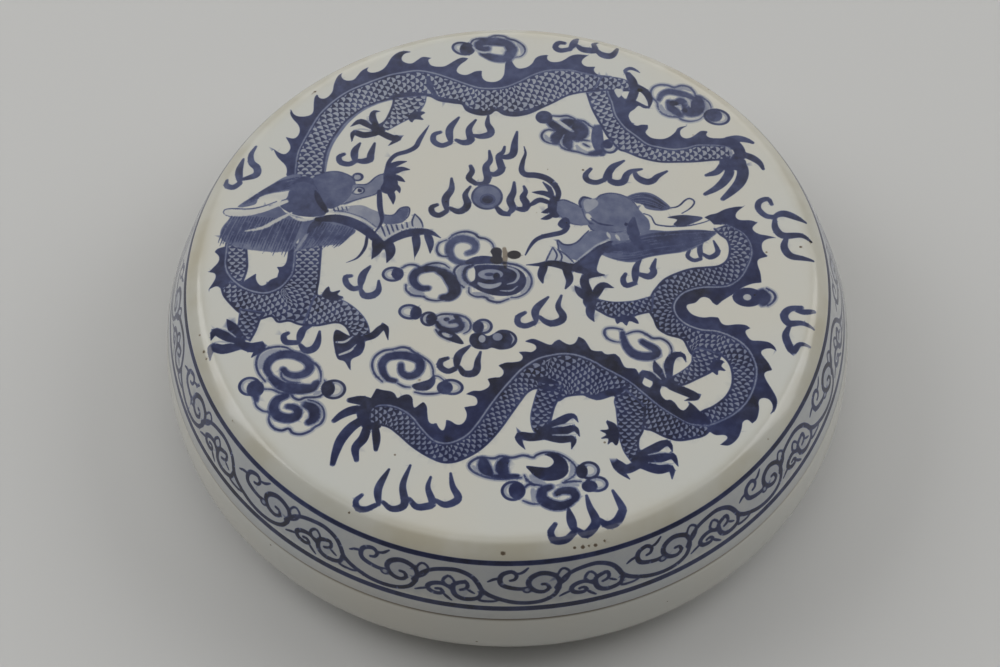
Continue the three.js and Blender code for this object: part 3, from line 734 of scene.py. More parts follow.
for x in (-50.0, -48.8, -47.6, -46.4):
    top.line(f"{x},{21.6 + 0.1 * (x + 50)} {x + 0.5},{20.1 + 0.1 * (x + 50)}", 0.35, 0.8)
top.line("-50,20.7 -46,19.9 -41.2,17.8 -37.4,14.6", 0.38, 0.68)
top.stroke("-51,20 -46,19.2 -41.2,17 -37.2,13.6", 0.8, 0.08, start=0.4, end=0.4, cover=True)
top.wash("-35.4,19 -33.2,18.6 -31.5,20 -30,21.4 -28.4,21.3 -28.6,18.8 -29.8,16.4 -33,15.6 -35.4,16", 0.5)
top.line("-35.4,18.9 -32.6,18.9 -30.6,21.3 -28.2,21.5 -28.3,18.6 -29.8,16.6", 0.45, 0.74)
top.wash("-37,13.4 -34,15.4 -30,15.6 -27.4,17 -26.4,19 -24.4,15.4 -24.6,13.4 -29,13 -33,11 -35.4,9.6", 0.12,
         cover=True)
for tooth in ("-36,15 -34.8,11.4", "-34.6,15.4 -33.4,11.6", "-33.2,15.4 -32.2,12.2", "-31.8,15.4 -31,12.8",
              "-30.2,15.6 -29.6,13.2", "-28.8,16.2 -28.4,13.6", "-26.5,19.2 -27.2,16.6 -26.8,13.8",
              "-26.5,19.2 -24.9,17.2 -24.1,14.8 -24.6,13.4"):
    top.line(tooth, 0.48, 0.76)
top.stroke("-36.4,12.6 -34.6,10.8 -32,12.5 -28,14.1 -24,14 -20.6,12.6", 0.9, 0.08, start=0.5, end=0.3,
           cover=True)
top.stroke("-53,17.6 -55.4,15.4 -57.2,12.4", 2.2, 0.76, start=0.6, end=0.1)
top.stroke("-54.6,17.4 -50,17.8 -46,16.9 -42,14.8 -38.8,12 -36.6,9.6 -35,7.8", 3.2, 0.92, start=0.5, end=0.6)
top.stroke("-34.4,9 -32,10.7 -29,12.2 -25.5,12.9 -22,12.7 -18.8,10.6", 2.6, 0.92, start=0.7, end=0.05)
top.strokes(0.92, (3.1, "-37.2,10 -37,6.8 -38.5,3.4"), (3.0, "-33.8,9 -33.2,5.6 -34.2,2.1"),
            (2.4, "-26.2,12.2 -25.8,8 -26.3,3.9"), (2.3, "-22.8,12 -21.9,8.8 -21.9,5.2"),
            (0.9, "-40,11.4 -40.5,7.5 -42.5,4 -45.7,2.2"),
            (1.6, "-36.9,27.4 -36.6,22 -35.9,17 -37.4,13.4 -38.2,12"), start=0.8, end=0.03, belly=0.25)
top.wash("-35.8,33.6 -35,37.2 -33.4,37.6 -32.2,35.5 -32.4,33 -31.6,30.4 -32,28 -33.4,26.4 -35.6,26.8"
         " -36.6,28.4 -35.8,30.6", 0.88)
top.strokes(0.9, (1.9, "-34,36.4 -31.5,37.6 -29.2,38.2"), (2.1, "-33,34.4 -30.6,35.4 -28.3,35.2"),
            (1.9, "-32.6,32.6 -31,31.8 -29.6,30.8"), (1.7, "-32.4,29.4 -31.4,28.2 -31,26.8"),
            (2.1, "-33.8,27.4 -33,25 -32.8,22.8"), start=0.9, end=0.12, belly=0.2)
top.stroke("-34.8,33.6 -34.6,37.4 -32.5,40.5 -29,41.9 -26.6,43.6 -25.4,46.4 -22.7,51.7", 1.5, 0.88,
           start=0.6, end=0.03, belly=0.65)
print("upper dragon's head painted,", len(top.marks), "marks")

# %% The lower dragon: body, fin and tail
NECK_TWO = ("54.5,-52 58,-50.5 62,-48 65.5,-44 67.7,-39 68.5,-34 67.5,-29.5 65.5,-26 62,-23.2 58,-21.5"
            " 54,-21 50,-19.2 47.5,-16.5 46.7,-13.5 47.5,-11 49.5,-8.7 52.5,-7.3 56,-6.7 60,-6.7 63,-6"
            " 66,-3.5 68,0 69.5,4 69.5,8 67.5,12 63,15")
TAIL_TWO = ("-37.8,-46 -36,-45.3 -32.5,-45.2 -29,-46.5 -26,-49 -23.5,-52.5 -20.5,-56 -17.5,-57.2"
            " -14.5,-56.7 -11,-54.5 -8,-50.5 -5,-45.5 -2,-41 1,-37 4,-33.5 8,-30.5 12,-29.2 16,-28.7"
            " 20,-29.5 24,-31.5 26,-33 30,-35.5 33.5,-38 37,-41.5 41,-45.5 45,-48.7 49.5,-51.5 54.5,-52")
top.scales(NECK_TWO, "51,-48.8 53.5,-47.2 56,-46 59.5,-43 61.5,-39 61.7,-34.5 60.5,-31 57.5,-28.6"
           " 53.5,-29.4 51,-29 50,-27 49,-24.5 47.5,-23.5 44.5,-22.5 42,-20.5 41,-17.5 39.8,-14.5 40,-11.5"
           " 40.8,-9 42,-7 44.5,-4 48,-2 52,-0.5 56,0 60,0.5 62.5,2.5 63.5,6 63,9.5 61,11.5 59.5,13.5",
           0.63, size=2.2)
top.scales(TAIL_TWO, "-37.8,-50.8 -36,-51 -32.5,-52 -29.5,-54.5 -26,-58 -22,-61 -18,-63 -14.5,-63 -11,-61.5"
           " -8,-59.5 -5,-56.5 -2,-52.5 0.5,-48.5 3,-44.5 5.5,-41 8.5,-40 12,-43.4 14,-43.8 16,-42.5"
           " 20.5,-42 23,-43 27,-41.4 31,-44 34,-49 36.7,-52.7 39,-53.5 42.5,-55.5 46,-56.6 50,-56 53,-55"
           " 55,-53", 0.63, size=2.2)
top.fin(NECK_TWO, "54.2,-53.6 56,-55 58.4,-55 59.3,-56 57.2,-58.1^ 59.6,-58.2 62,-56 63.2,-53 63.6,-51"
        " 65,-50.2 66.2,-51.4^ 67.5,-50 68.3,-47 68.3,-44.6 69.2,-43.4 71,-43.6 72,-45 72.1,-46.8"
        " 71.3,-48.5^ 72.8,-47 73.4,-44 72.4,-41 71,-38 70.4,-35.8 71.2,-34.8 72.8,-34.4^ 71.8,-32 70.6,-30"
        " 70,-28.6 71,-27.5 73,-27.3 74.4,-28.2^ 73.8,-26.6 72.4,-25.3 70,-24.8 67.6,-24.6 66.4,-22.8"
        " 66.2,-21.4 67.6,-20.6^ 66.4,-19.6 64,-19.3 61,-19.6 59.6,-18.8 58.9,-17^ 57,-16.8 55,-17 53,-16.6"
        " 51.3,-15.6 50.2,-13.8 50.4,-12.6 52.6,-12 53.6,-11 54.4,-10.2 55.6,-10 57,-10.8 57.6,-12"
        " 58.8,-12.9^ 60,-11.6 61.6,-10.4 63,-9.4 66,-7 69,-5.6 71.7,-5.2^ 71.6,-2 71,1 71.4,2.8 74.2,3.8^"
        " 73,5.2 72.6,6.8 72.9,8.6 74.3,9.8 76.8,10.3^ 74.5,11 72,11.6 70.6,12.8 70.4,14 71.9,15.6^ 70,16.4"
        " 67,16.5 65.8,17.5 66,19 67,20.2 68.3,21.3^ 66,21.2 63,20.4 60.5,19 58.4,18.4 56.8,17.5^ 58.4,16.4"
        " 59.4,15", tone=0.92)
top.fin(TAIL_TWO, "-38,-43.6 -37.2,-42.4 -36,-39.7^ -34.4,-40.3 -32.2,-40.7 -31,-41.5 -30.2,-43 -29.2,-42.2"
        " -27.4,-41.7 -26.2,-42.8 -26,-44.6 -25.6,-46.2 -24.6,-45.4 -23.1,-44.1^ -22.2,-45.6 -22,-48"
        " -21.6,-50.4 -20.6,-51.2 -19.5,-50.8^ -18.8,-52.4 -17.7,-53.4 -17,-52 -16.8,-49.8^ -15.4,-50.4"
        " -14.3,-51.3 -12.8,-51.4 -11.6,-50.1 -11.2,-48 -11.9,-45.9^ -10.3,-45.6 -8.7,-45.3 -8.3,-44"
        " -9,-42.5 -11.5,-41.7^ -9.5,-40.7 -7.5,-40.7 -5.6,-39.8 -4.9,-38.6 -5.6,-36.8^ -3.5,-36.4 -2,-36.3"
        " -1.1,-35 -1.5,-33.6 -2.6,-32.5^ -0.5,-31.6 1.5,-31.5 3.6,-31 4.2,-29.6 3,-28.1^ 5,-28 6.6,-28.2"
        " 8,-27 7.4,-25.6 4.7,-24.6^ 7,-23.8 9.4,-24.8 11,-25.6 12.2,-25.8 13,-24.8 14.3,-24^ 15.5,-25"
        " 17,-25.8 18.4,-25.5 19.2,-24.5 19.7,-23.1^ 21.3,-24.2 22.3,-26 23.2,-27.6 25,-28 26,-27.9^ 27,-29"
        " 28.4,-29 29.6,-28.8^ 30.8,-30 31.6,-32 32.4,-33.4 34,-33.6 35.2,-33.7^ 36,-35.4 36.3,-37 37.2,-39"
        " 38.6,-39.8 41,-41 42.2,-43 43.2,-44 44.3,-43.7^ 45.5,-44.8 46.4,-46.4 47.6,-47.3 48.8,-46.4"
        " 49.7,-44.7^ 51,-46 52.4,-47.8 54.4,-49.4 55,-51", tone=0.94)
top.spine(NECK_TWO)
top.spine(TAIL_TWO)
top.wash("-36.2,-45.4 -38,-44.2 -40.6,-45.4 -41.2,-48 -39.8,-51.6 -38.2,-52.8 -35.4,-52.6 -34.4,-51.6"
         " -36.8,-51 -37.6,-50 -37.7,-48 -37,-46.4", 0.92)
top.strokes(0.94, (3.0, "-37,-44.6 -40,-43.6 -43.4,-43.5"),
            (2.6, "-38.5,-46.6 -42,-46.6 -45,-48 -47.4,-50.1"),
            (2.8, "-39.6,-49.8 -42.6,-52.2 -45.2,-56 -46.5,-60 -47.2,-63.6"),
            (2.6, "-38.2,-52 -39.2,-55.6 -41.2,-58.6 -40.8,-62.4"),
            (2.2, "-36,-52.4 -35.6,-56 -35.7,-59.2"), start=0.85, end=0.5, belly=0.35)

# %% The lower dragon: legs
top.scales("41,-9.4 38,-10.4 35,-11.2 30,-11.5 26.4,-10.8 23.6,-9.6",
           "40.4,-14.8 37,-15.6 33,-17 29,-16.6 26,-14.8 23.4,-13", 0.65, size=2.2)
top.wash("30.4,-16.8 30.6,-19 31.8,-18.2 33.2,-19.6 34,-18 36.6,-19 35,-16.4", 0.92)
top.oval(23.2, -11.4, 4.0, 4.0, 0.92)
top.claws("22.4,-10.2 20.2,-7.8 19,-6", "23.4,-9.6 21.8,-5 22.8,-2.7 27.6,-2.4",
          "24.4,-9.8 26.8,-6 30,-6.8", "23.6,-12 23.2,-14.4 23.3,-16.2 24.2,-18.2", width=2.6)
top.scales("53,-27 51,-29 50.4,-32 47.4,-34.8 44.4,-36.6",
           "59,-29 58,-31.4 56.4,-34.4 52,-37 48,-39 44.6,-39.4", 0.65, size=2.2)
top.wash("55.6,-33.6 57.6,-36 58,-34.4 60,-34.6 58.8,-33 59.6,-31.4 57,-31", 0.92)
top.oval(43.8, -38.0, 3.8, 3.6, 0.92)
top.claws("42.6,-37.2 41,-33.6 40.4,-31", "44,-37 44.5,-32 46,-29.5 48.4,-29.4 49.2,-31.8",
          "42.8,-38.4 39,-36 37,-35.6 36.5,-38.9", "44.8,-39.6 49,-41.5 51.5,-43 48.2,-44.1",
          gaps=("43.4,-36.6 42.8,-33.6 43,-31.4", "42,-37.2 40,-35 39,-34.2"), width=2.6)
top.wash("39.6,-36.4 42.2,-38.6 41.6,-41 42.2,-44.4 40,-43 38.4,-41 39.7,-38.8", 0.9)
top.scales("9.4,-36.6 8,-40.5 7,-44 6,-49 6.5,-53 8,-55",
           "14.8,-39.6 14,-42.5 12.5,-46 11.5,-50 11,-52 12,-54", 0.65, size=2.2)
top.stroke("7,-36.5 10,-37.4 13.6,-38.2", 2.0, 0.9, start=0.4, end=0.3)
top.stroke("8.2,-39.4 11.6,-40.2 13.7,-39.3", 1.6, 0.9, start=0.4, end=0.3)
top.oval(10.0, -54.0, 4.6, 3.8, 0.92)
top.claws("10.6,-52.4 14,-50.6 16.5,-49 18,-49 19,-50.8", "11,-53.8 15,-53.5 18,-52.8 19.3,-55.3",
          "10.4,-55.3 14,-56 17.5,-56.2 17,-59.3", "9.4,-55.2 6,-55.4 3,-55 3.2,-57 4.5,-59.2",
          gaps=("12,-52.4 15,-51.6 18,-51", "12,-54.8 16,-54.8 18.8,-54.6"), width=2.6)
top.scales("31.4,-39.6 29,-43.5 29.3,-47 29.6,-52 30,-56 31,-60 33,-63.5",
           "37.4,-46 36.5,-53 35.2,-56 35,-59 36,-61 37,-63", 0.65, size=2.2)
top.stroke("21.6,-42.4 24.4,-42.9 27.4,-41.8 30.6,-40.8 33.2,-39.2", 2.2, 0.88, start=0.4, end=0.3)
top.wash("24.9,-53.4 27.2,-53 26.6,-50.4 29.2,-51.6 30,-55 29.2,-58.2 28,-57 26.8,-57.8 27,-56 24.9,-56"
         " 26.6,-54.7", 0.92)
top.oval(35.2, -62.8, 4.6, 3.8, 0.92)
top.claws("35.6,-61.2 39,-59.4 42,-57.6 43.5,-58 44.2,-60.2", "36.4,-62.6 41,-62 44,-61.5 45.5,-64.7",
          "35.8,-64.2 40,-65.6 43.5,-65.4 43.7,-68.8", "34.8,-64.2 31.5,-65.5 29,-63.8 30,-66 32.5,-68.7",
          gaps=("37.6,-61.1 41,-60.4 43.8,-60.6", "37.6,-63.6 42,-63.8 44.6,-63.9"), width=2.8)
print("lower dragon's body painted,", len(top.marks), "marks")

# %% The lower dragon: head and mane
top.wash("40,13 46,12.8 52,13.2 57,13 60,12 57,9.4 54,7 50,5.4 45,4.6 40,3.6 36,2 32,2.4 28,4 26.4,5.6"
         " 28,8.6 31,9.8 36,10", 0.5)
top.streaks("60,12.6 52,12.9 46,12.4 40,11.8 35,10 30.6,8.2", "57.5,9.6 50,5.8 42,4.2 36,2.4 31,2.4 28,3.6",
            15, 0.62, 0.76, 0.2, ragged=0.2)
top.wash("27.8,6.6 31,8.2 35,8.9 39,9.3 41,7.8 39,6 35,5.6 31,5.8 28.4,5.2", 0.74)
top.wash("33.8,24 36,25.8 39,26.6 42,26.1 45,23.8 47.2,21 45,20 42,20.2 40,20.9 39.2,22.4 37,23", 0.5)
top.streaks("34.4,24.6 38,26.2 42,25.4 47,21.2", "38.4,22.6 40.2,21.6 42.4,20.8 45,20.2", 7, 0.55, 0.8, 0.2)
top.wash("46.2,17.6 50,18.4 53,18.2 56.4,17.4 53.2,15.4 50,14.4 47.8,15 49,16.8", 0.72)
top.line("46.4,20.8 49.4,21.5 51.6,23.7 53,24.3 54.2,23.2 53.6,21.6 52.2,20.2 50.4,19", 0.5, 0.74)
top.line("39.4,19 41.4,18 42.4,15.6 43.4,14.9 47,14.4 52,14.6 56,15.6 58.4,16.6", 0.45, 0.72)
top.wash("21.2,21 21.2,23.4 22.6,24.8 25.2,24.4 27,25.5 30,26.2 33.5,25.4 36.2,23.4 38,20.6 39.4,18.6"
         " 40.8,16.4 40.6,13 36,11.6 31,11.9 27,12.4 24.4,13.4 23.2,15.2 21.4,18", 0.46)
top.wash("22.2,21.8 22.4,23.8 24,24.4 26,23.8 26.4,22.2 24.6,20.4 23,19.6", 0.22)
top.line("26,24 27,25.5 30,26.3 33.5,25.5 36.2,23.5 38,20.7", 0.5, 0.72)
top.line("21.4,21.2 21.1,23.2 22.2,24.9 24.4,24.4", 0.8, 0.86)
top.stroke("21.7,20.6 21.8,18 23.2,16 25,15.4", 1.4, 0.72, start=0.5, end=0.2)
top.oval(23.6, 17.9, 1.5, 2.8, 0.04, 28, cover=True)
top.line("24.2,17.4 26,15.8 28,15.1 30.4,14.8", 0.6, 0.84)
top.line("23.4,14.8 24.6,13.2 27,12.5 31,12.4 34,13", 0.5, 0.68)
top.oval(34.2, 15.2, 1.1, 1.1, 0.95)
top.stroke("36.4,17.4 36,13.6 36.8,10 38.6,6.2", 3.6, 0.8, start=0.3, end=0.2)
top.wash("14.3,22 15.2,24 17,23.7 19,22.7 21.2,21.3 22.2,18 23.6,15.4 21,14.9 18.6,15.5 16.6,16.8 15.2,18.4"
         " 14.2,20.4", 0.42)
top.line("14.6,23.6 16.6,24 18.8,23 21.2,21.5", 0.5, 0.76)
top.line("15.4,18.2 17,16.6 19,15.4 21.6,14.9", 0.4, 0.64)
top.wash("26,12.8 31,12.2 34.4,11.8 34.6,9.8 31,9.4 28,10.4", 0.38)
top.wash("14.5,9.7 16,8.3 18,8.1 20,9 22,11.4 24.4,13 28,12.2 29.6,10.6 26,8.4 23,5.8 20.4,3 18.4,3.2"
         " 16.4,5 15,7.2", 0.42)
top.line("14.8,6.4 14.4,9.7 16,8.3 18,8.1 20,9 22,11.4 23.4,13", 0.55, 0.78)
for tooth in ("28.7,12.3 29.5,10.4", "31.2,11.4 32.2,9.6"):
    top.stroke(tooth, 1.0, 0.08, start=0.6, end=0.4, cover=True)
top.wash("11,2.6 13,7.2 14.4,6.8 16.6,4.8 18.6,2.4 16.6,1.4 13.6,2.2", 0.1, cover=True)
for tooth in ("11,2.4 13,7.3", "13,7.3 14.2,4.6 13.4,2.2", "14.4,6.6 15.6,4.2 15,1.8",
              "14.4,6.6 16.8,4.6 19,1.8"):
    top.line(tooth, 0.5, 0.76)
top.stroke("5.4,1.2 9,1.3 12,1.7 15,1.2 18,0.2 20.6,1 23,3.8 26,6.6 29.6,9", 2.8, 0.93, start=0.05, end=0.4,
           belly=0.5)
top.wash("18.6,0.6 21,2.6 24.6,5.8 28.8,8.8 30,7.6 28,5.6 26.6,4 25.8,1.6 25.4,-0.8 26.6,-2.2 24.2,-2.4"
         " 21.6,-2 19,-1.2", 0.8)
top.stroke("18.8,1.6 22.6,5.2 26,8.2 29.4,10.2", 0.7, 0.16, start=0.4, end=0.5, cover=True)
top.wash("14.6,15.2 16.2,17.6 17.8,17.2 18,15 16.8,13.4", 0.86)
top.strokes(0.92, (2.4, "10.6,1 9.6,-2.4 10,-5"), (2.4, "16.6,0 17.6,-4 16.4,-7"),
            (2.2, "20.6,0 23.4,-2 27.4,-2.4"),
            (1.6, "17,15.6 17.4,14.4 16,12.6 13,11.7 10,10.9 8,9.6 6.5,7.4 5.2,4.6"), start=0.8, end=0.2,
            belly=0.3)
top.wash("14.6,22.4 14.6,24.6 13.2,25.2 12,23 12,20 13.2,17.8 15.2,18 14.4,20", 0.8)
top.strokes(0.86, (1.7, "13.8,24.6 11,26.4 7.4,26.8"), (1.7, "12.8,22.8 9.6,24 7.4,22.6 5.4,21.2"),
            (1.5, "12.8,21 11.2,19.8 10,19.6"), (1.6, "13.6,19 11.6,17.7 9.8,17.2"),
            (1.4, "13.4,25 12.4,28 10.4,30.6"),
            (2.0, "14.6,24 15,26.6 13.8,29.6 11.6,31.8 8.6,32.9 5.6,33.2 4.4,34.8 4.8,38 5.6,41 5.2,43.5"),
            start=0.7, end=0.1, belly=0.45)
print("lower dragon's head painted,", len(top.marks), "marks")

# %% [markdown]
# Iron in the clay burns out as small brown and black specks, and a few are large enough to have a place of
# their own. They are marks too, with another colour.

# %% Iron specks
for x, y, size, tone in ((40, 64.5, 1.5, 1.0), (-57, 64.5, 0.8, 0.9), (83.7, 7, 0.9, 0.7),
                         (22.3, 34.8, 0.8, 0.9), (86.8, 9, 1.0, 0.9), (12, 35, 0.5, 0.5),
                         (-24, -37, 0.4, 0.6), (55, 47.5, 0.5, 0.5), (-1.6, -90.2, 1.3, 0.55),
                         (17.4, -88.6, 0.9, 0.7), (19.6, -88.4, 1.2, 0.6), (21.2, -88.0, 0.7, 0.7),
                         (23.0, -87.8, 1.1, 0.6), (25.4, -86.6, 0.8, 0.6), (-84.5, -27.0, 1.0, 0.55),
                         (-83.6, -29.4, 0.8, 0.5), (-42.5, -78.0, 0.7, 0.8), (-86.0, -21.5, 0.7, 0.5),
                         (-75.6, -49.0, 0.6, 0.45), (70.8, -55.6, 0.6, 0.5)):
    top.oval(x, y, size, size * 0.8, tone, iron=True)
print("top of the lid:", len(top.marks), "marks")

# %% [markdown]
# Round the wall runs a vine that climbs over an arch and dips under a spiral, sixteen times. One length of it
# is drawn and repeated. The arches were spaced by eye, so the visible ones keep their uneven places and the
# rest share what is left of the circle.

# %% The scroll band
BAND_RADIUS = (LINE_RADIUS + BAND_TOP_RADIUS) / 2
REPEAT = 37.1
LEAF_TONE, VINE_WIDTH, CURL_SWELL = 0.11, 1.35, 1.28
HIDDEN_ARCHES = 10
band = Sheet()
VINE = ("-10.4,6.8 -9.2,8.7 -7.3,10.7 -4.4,12.1 -0.2,12.8 2.7,12.2 5,10.8 6.5,8.7 7.5,6.6 9.4,4.9 12.3,3.5"
        " 15.6,2.4 19.4,2.0 23.1,2.5 26,4.1 27.5,6.6")


def scroll(sheet):
    """One repeat of the vine from its arch to its trough, with pale leaves first and dark lines after."""
    for leaf in ("-2.7,8.6 -1.4,10.3 0,9.2 0.2,7.6 -1.6,7.1",
                 "27.3,10.6 28,12.5 29.2,13.1 30.4,11.9 29.8,9.6 28,8",
                 "7.6,5.4 7.4,3 10.4,2.7 12.3,3.6 9.4,4.8",
                 "0.4,5.8 0.6,7.8 2.6,8.8 4,7.8 4.2,5.6 2.6,3.4 1,4.2",
                 "20,9.5 21.4,11.2 23.4,11.9 26,11 27.2,8.4 25,6.4 22,6.4"):
        sheet.wash(leaf, LEAF_TONE)
    sheet.stroke(VINE, VINE_WIDTH, 0.97, start=0.8, end=0.9)
    for width, route in ((1.15, "7.4,6.4 6.9,4.1 5.2,3.1 2.7,2.9 0.8,3.9 0,5.8 0.2,7.7 1.9,8.7 3.3,8.9"
                          " 3.8,7.7 3.3,6.6 1.9,6"), (0.6, "4,6.2 5.6,5.2"),
                         (0.7, "0,7.2 -1.6,7.1 -2.7,8.6 -1.4,10.4 0,9.3 0.2,7.8"),
                         (1.1,
                          "-0.2,6 -2.7,7.4 -5.2,7 -6.5,5.6 -5.6,4.1 -3.5,3.7 -2.5,4.5 -3.3,5.4 -4.4,5.2"),
                         (0.6, "-6.5,4.9 -8.1,4.3 -9.6,3.5"), (0.65, "-2.5,4.1 -1.5,3 -0.2,1.8"),
                         (0.65, "7.5,5.4 6.9,2.9 10.6,2.7 12.7,3.7"),
                         (1.2, "27.5,6.6 27.7,8.7 26.9,10.8 24.8,12 22.7,12.2 20.6,11.2 19.6,9.5 20,7.7"
                          " 21.5,6.2 23.5,5.8 24.8,6.8 24.4,8.3 23.1,8.5"),
                         (1.1, "20.2,7.7 17.7,7.2 14.8,7.7 12.7,8.7 12.1,10.6 12.9,12.4 15.2,13.2 16.5,12"
                          " 16,10.6 14.8,10.2"), (0.65, "12.1,10.8 10.6,10.6 9,9.7"),
                         (0.65, "16.7,12.4 18.1,12.9 19.6,14.3"),
                         (0.6, "27.1,10.8 28.1,12.7 29.2,13.1 30.4,11.8 29.8,9.5 27.9,7.7")):
        sheet.stroke(route, width * CURL_SWELL, 0.95, start=0.75, end=0.55)
    sheet.oval(19.2, 6.8, 2.6, 2.4, 0.9)
    sheet.oval(19.2, 6.8, 1.4, 1.3, 0.2, cover=True)


one = Sheet()
scroll(one)
arches = np.array([-57.0, -32.5, -9.0, 14.0, 36.5, 57.0])
hidden = np.linspace(arches[-1], arches[0] + 360.0, HIDDEN_ARCHES + 2)[1:-1]
arches = np.radians(np.concatenate([arches, hidden]))
arches = np.concatenate([arches[-1:] - 2 * np.pi, arches, arches[:2] + 2 * np.pi])
stations = np.arange(len(arches)) * REPEAT
for number in range(len(arches) - 2):
    for mark in one.marks:
        path = mark["path"] + (REPEAT * number, 0.0)
        path[:, 0] = np.interp(path[:, 0], stations, arches * BAND_RADIUS)
        band.marks.append(dict(mark, path=path))
print("scroll band:", len(arches) - 3, "repeats,", len(band.marks), "marks")

# %% [markdown]
# The marks now become a surface. A plain grid fine enough for a half-millimetre line would need a million
# faces, so the points are placed where the painting needs them: a row just inside and a row just outside
# every edge, and a loose grid elsewhere. A Delaunay triangulation joins them. Each point then receives its
# cobalt, and the colour fades across the narrow gap between the two rows, as cobalt bleeds a little into
# the glaze.

# %% Depth of points in marks
BLEED = 0.14
# Depths are measured up to NEAR beyond an edge, and FAR stands for all that lies past it.
NEAR, FAR = 1.0, 9.0
SCALE_FADE, SCALE_START, SCALE_ROW = 0.25, 0.6, 0.45
LEAST_STEP = 0.03
ROW_PRIME = 1000003
CAP = np.stack([np.cos(np.arange(8) * np.pi / 4), np.sin(np.arange(8) * np.pi / 4)], 1)


def ramp(distance, width):
    """0 below a distance of 0, rising evenly to 1 over a width."""
    return np.clip(distance / width, 0, 1)


def bled(depth):
    """Share of a mark's pigment: it fades evenly from one BLEED inside the edge to one BLEED outside it."""
    return np.clip(depth / (2 * BLEED) + 0.5, 0, 1)


def stroke_depth(q, path, half):
    """How deep each point lies in a stroke: the largest, over its pieces, of half width minus distance."""
    a, step = path[:-1], np.diff(path, axis=0)
    reach = q[:, None] - a
    share = np.clip((reach * step).sum(2) / np.maximum((step**2).sum(1), 1e-9), 0, 1)
    gap = np.linalg.norm(reach - share[..., None] * step, axis=2)
    return (half[:-1] + share * np.diff(half) - gap).max(1)


def within(q, path, reach):
    """Numbers of the points that lie in a path's box, widened by reach."""
    return np.flatnonzero(((q > path.min(0) - reach) & (q < path.max(0) + reach)).all(1))


def pieces(path, size=30):
    """Short slices of a long path, each sharing its end with the next."""
    return [slice(start, start + size + 1) for start in range(0, len(path) - 1, size)]


def area_depth(q, path):
    """Distance to an outline, positive inside; a point is inside if a ray from it towards +x crosses the
    outline an odd number of times."""
    gap = np.full(len(q), FAR)
    crossings = np.zeros(len(q), int)
    for piece in pieces(path):
        part = path[piece]
        near = within(q, part, NEAR)
        gap[near] = np.minimum(gap[near], -stroke_depth(q[near], part, np.zeros(len(part))))
        level = (q[:, 1] >= part[:, 1].min()) & (q[:, 1] <= part[:, 1].max()) & (q[:, 0] <= part[:, 0].max())
        rows = np.flatnonzero(level)
        x, y = q[rows, :1], q[rows, 1:]
        low, high = part[:-1], part[1:]
        rise = high[:, 1] - low[:, 1]
        cut = low[:, 0] + (y - low[:, 1]) / np.where(rise == 0, 1.0, rise) * (high[:, 0] - low[:, 0])
        crossings[rows] += (((low[:, 1] > y) != (high[:, 1] > y)) & (x < cut)).sum(1)
    return np.where(crossings % 2 == 1, gap, -gap)


def mark_depth(mark, q):
    """The points near a mark and how deep each of them lies in it."""
    path, half = mark["path"], mark["half"]
    reach = NEAR if half is None else NEAR + half.max()
    near = within(q, path, reach)
    if half is None:
        return near, area_depth(q[near], path)
    depth = np.full(len(near), -FAR)
    for piece in pieces(path):
        some = within(q[near], path[piece], reach)
        depth[some] = np.maximum(depth[some], stroke_depth(q[near[some]], path[piece], half[piece]))
    return near, depth


print("depth tools ready")

# %% Paint on points
def body_place(q, middle, reach=16.0):
    """For each point, the length along a body's middle line of its nearest point there and the distance
    to it, positive on the left of the line."""
    run, gap = np.zeros(len(q)), np.full(len(q), reach)
    start = along(middle)
    for piece in pieces(middle):
        some = within(q, middle[piece], reach)
        a, step = middle[piece][:-1], np.diff(middle[piece], axis=0)
        offset = q[some][:, None] - a
        share = np.clip((offset * step).sum(2) / (step**2).sum(1), 0, 1)
        away = np.linalg.norm(offset - share[..., None] * step, axis=2)
        best = away.argmin(1)
        row = np.arange(len(some))
        length = start[piece][:-1][best] + share[row, best] * np.hypot(*step.T)[best]
        side = step[best, 0] * offset[row, best, 1] - step[best, 1] * offset[row, best, 0]
        closer = away[row, best] < np.abs(gap[some])
        run[some[closer]] = length[closer]
        gap[some[closer]] = (np.sign(side) * away[row, best])[closer]
    return run, gap


def paint(sheet, q):
    """Lays the marks on the points in order. A wash or a covering stroke replaces what is under it, and any
    other stroke only darkens."""
    layer = {name: np.zeros(len(q)) for name in ("cobalt", "iron", "scaled", "scale_run", "scale_gap")}
    for mark in sheet.marks:
        near, depth = mark_depth(mark, q)
        share = bled(depth)
        pigment = layer["iron" if mark.get("iron") else "cobalt"]
        laid = (1 - share) * pigment[near] + share * mark["tone"]
        if mark["half"] is not None and not mark.get("cover"):
            laid = np.maximum(pigment[near], share * mark["tone"])
        pigment[near] = laid
        if not mark.get("iron"):
            layer["scaled"][near] *= 1 - share
        if "middle" in mark:
            clear = np.clip(np.abs(depth) / SCALE_FADE - SCALE_START, 0, 1)
            layer["scaled"][near] = np.maximum(layer["scaled"][near], depth > 0) * clear
            body = near[depth > 0]
            run, gap = body_place(q[body], mark["middle"])
            layer["scale_run"][body] = run / mark["size"]
            layer["scale_gap"][body] = gap / mark["size"]
    return layer


print("paint tools ready")

# %% Points where the painting needs them
def edge_rows(sheet):
    """Rows of points just inside and just outside the edges of all marks of a sheet."""
    rows = []
    for mark in sheet.marks:
        path = mark["path"]
        slope = np.gradient(path, axis=0)
        side = np.stack([-slope[:, 1], slope[:, 0]], 1) / np.maximum(np.hypot(*slope.T), 1e-9)[:, None]
        half = np.zeros(len(path)) if mark["half"] is None else mark["half"]
        offsets = [half + BLEED, np.maximum(half - BLEED, 0.0)]
        if "middle" in mark:
            offsets.append(half + SCALE_ROW)
        for offset in offsets:
            rows += [path + side * offset[:, None], path - side * offset[:, None]]
        for end in (0, -1):
            rows.append(path[end] + (half[end] + BLEED) * CAP)
    return np.vstack(rows)


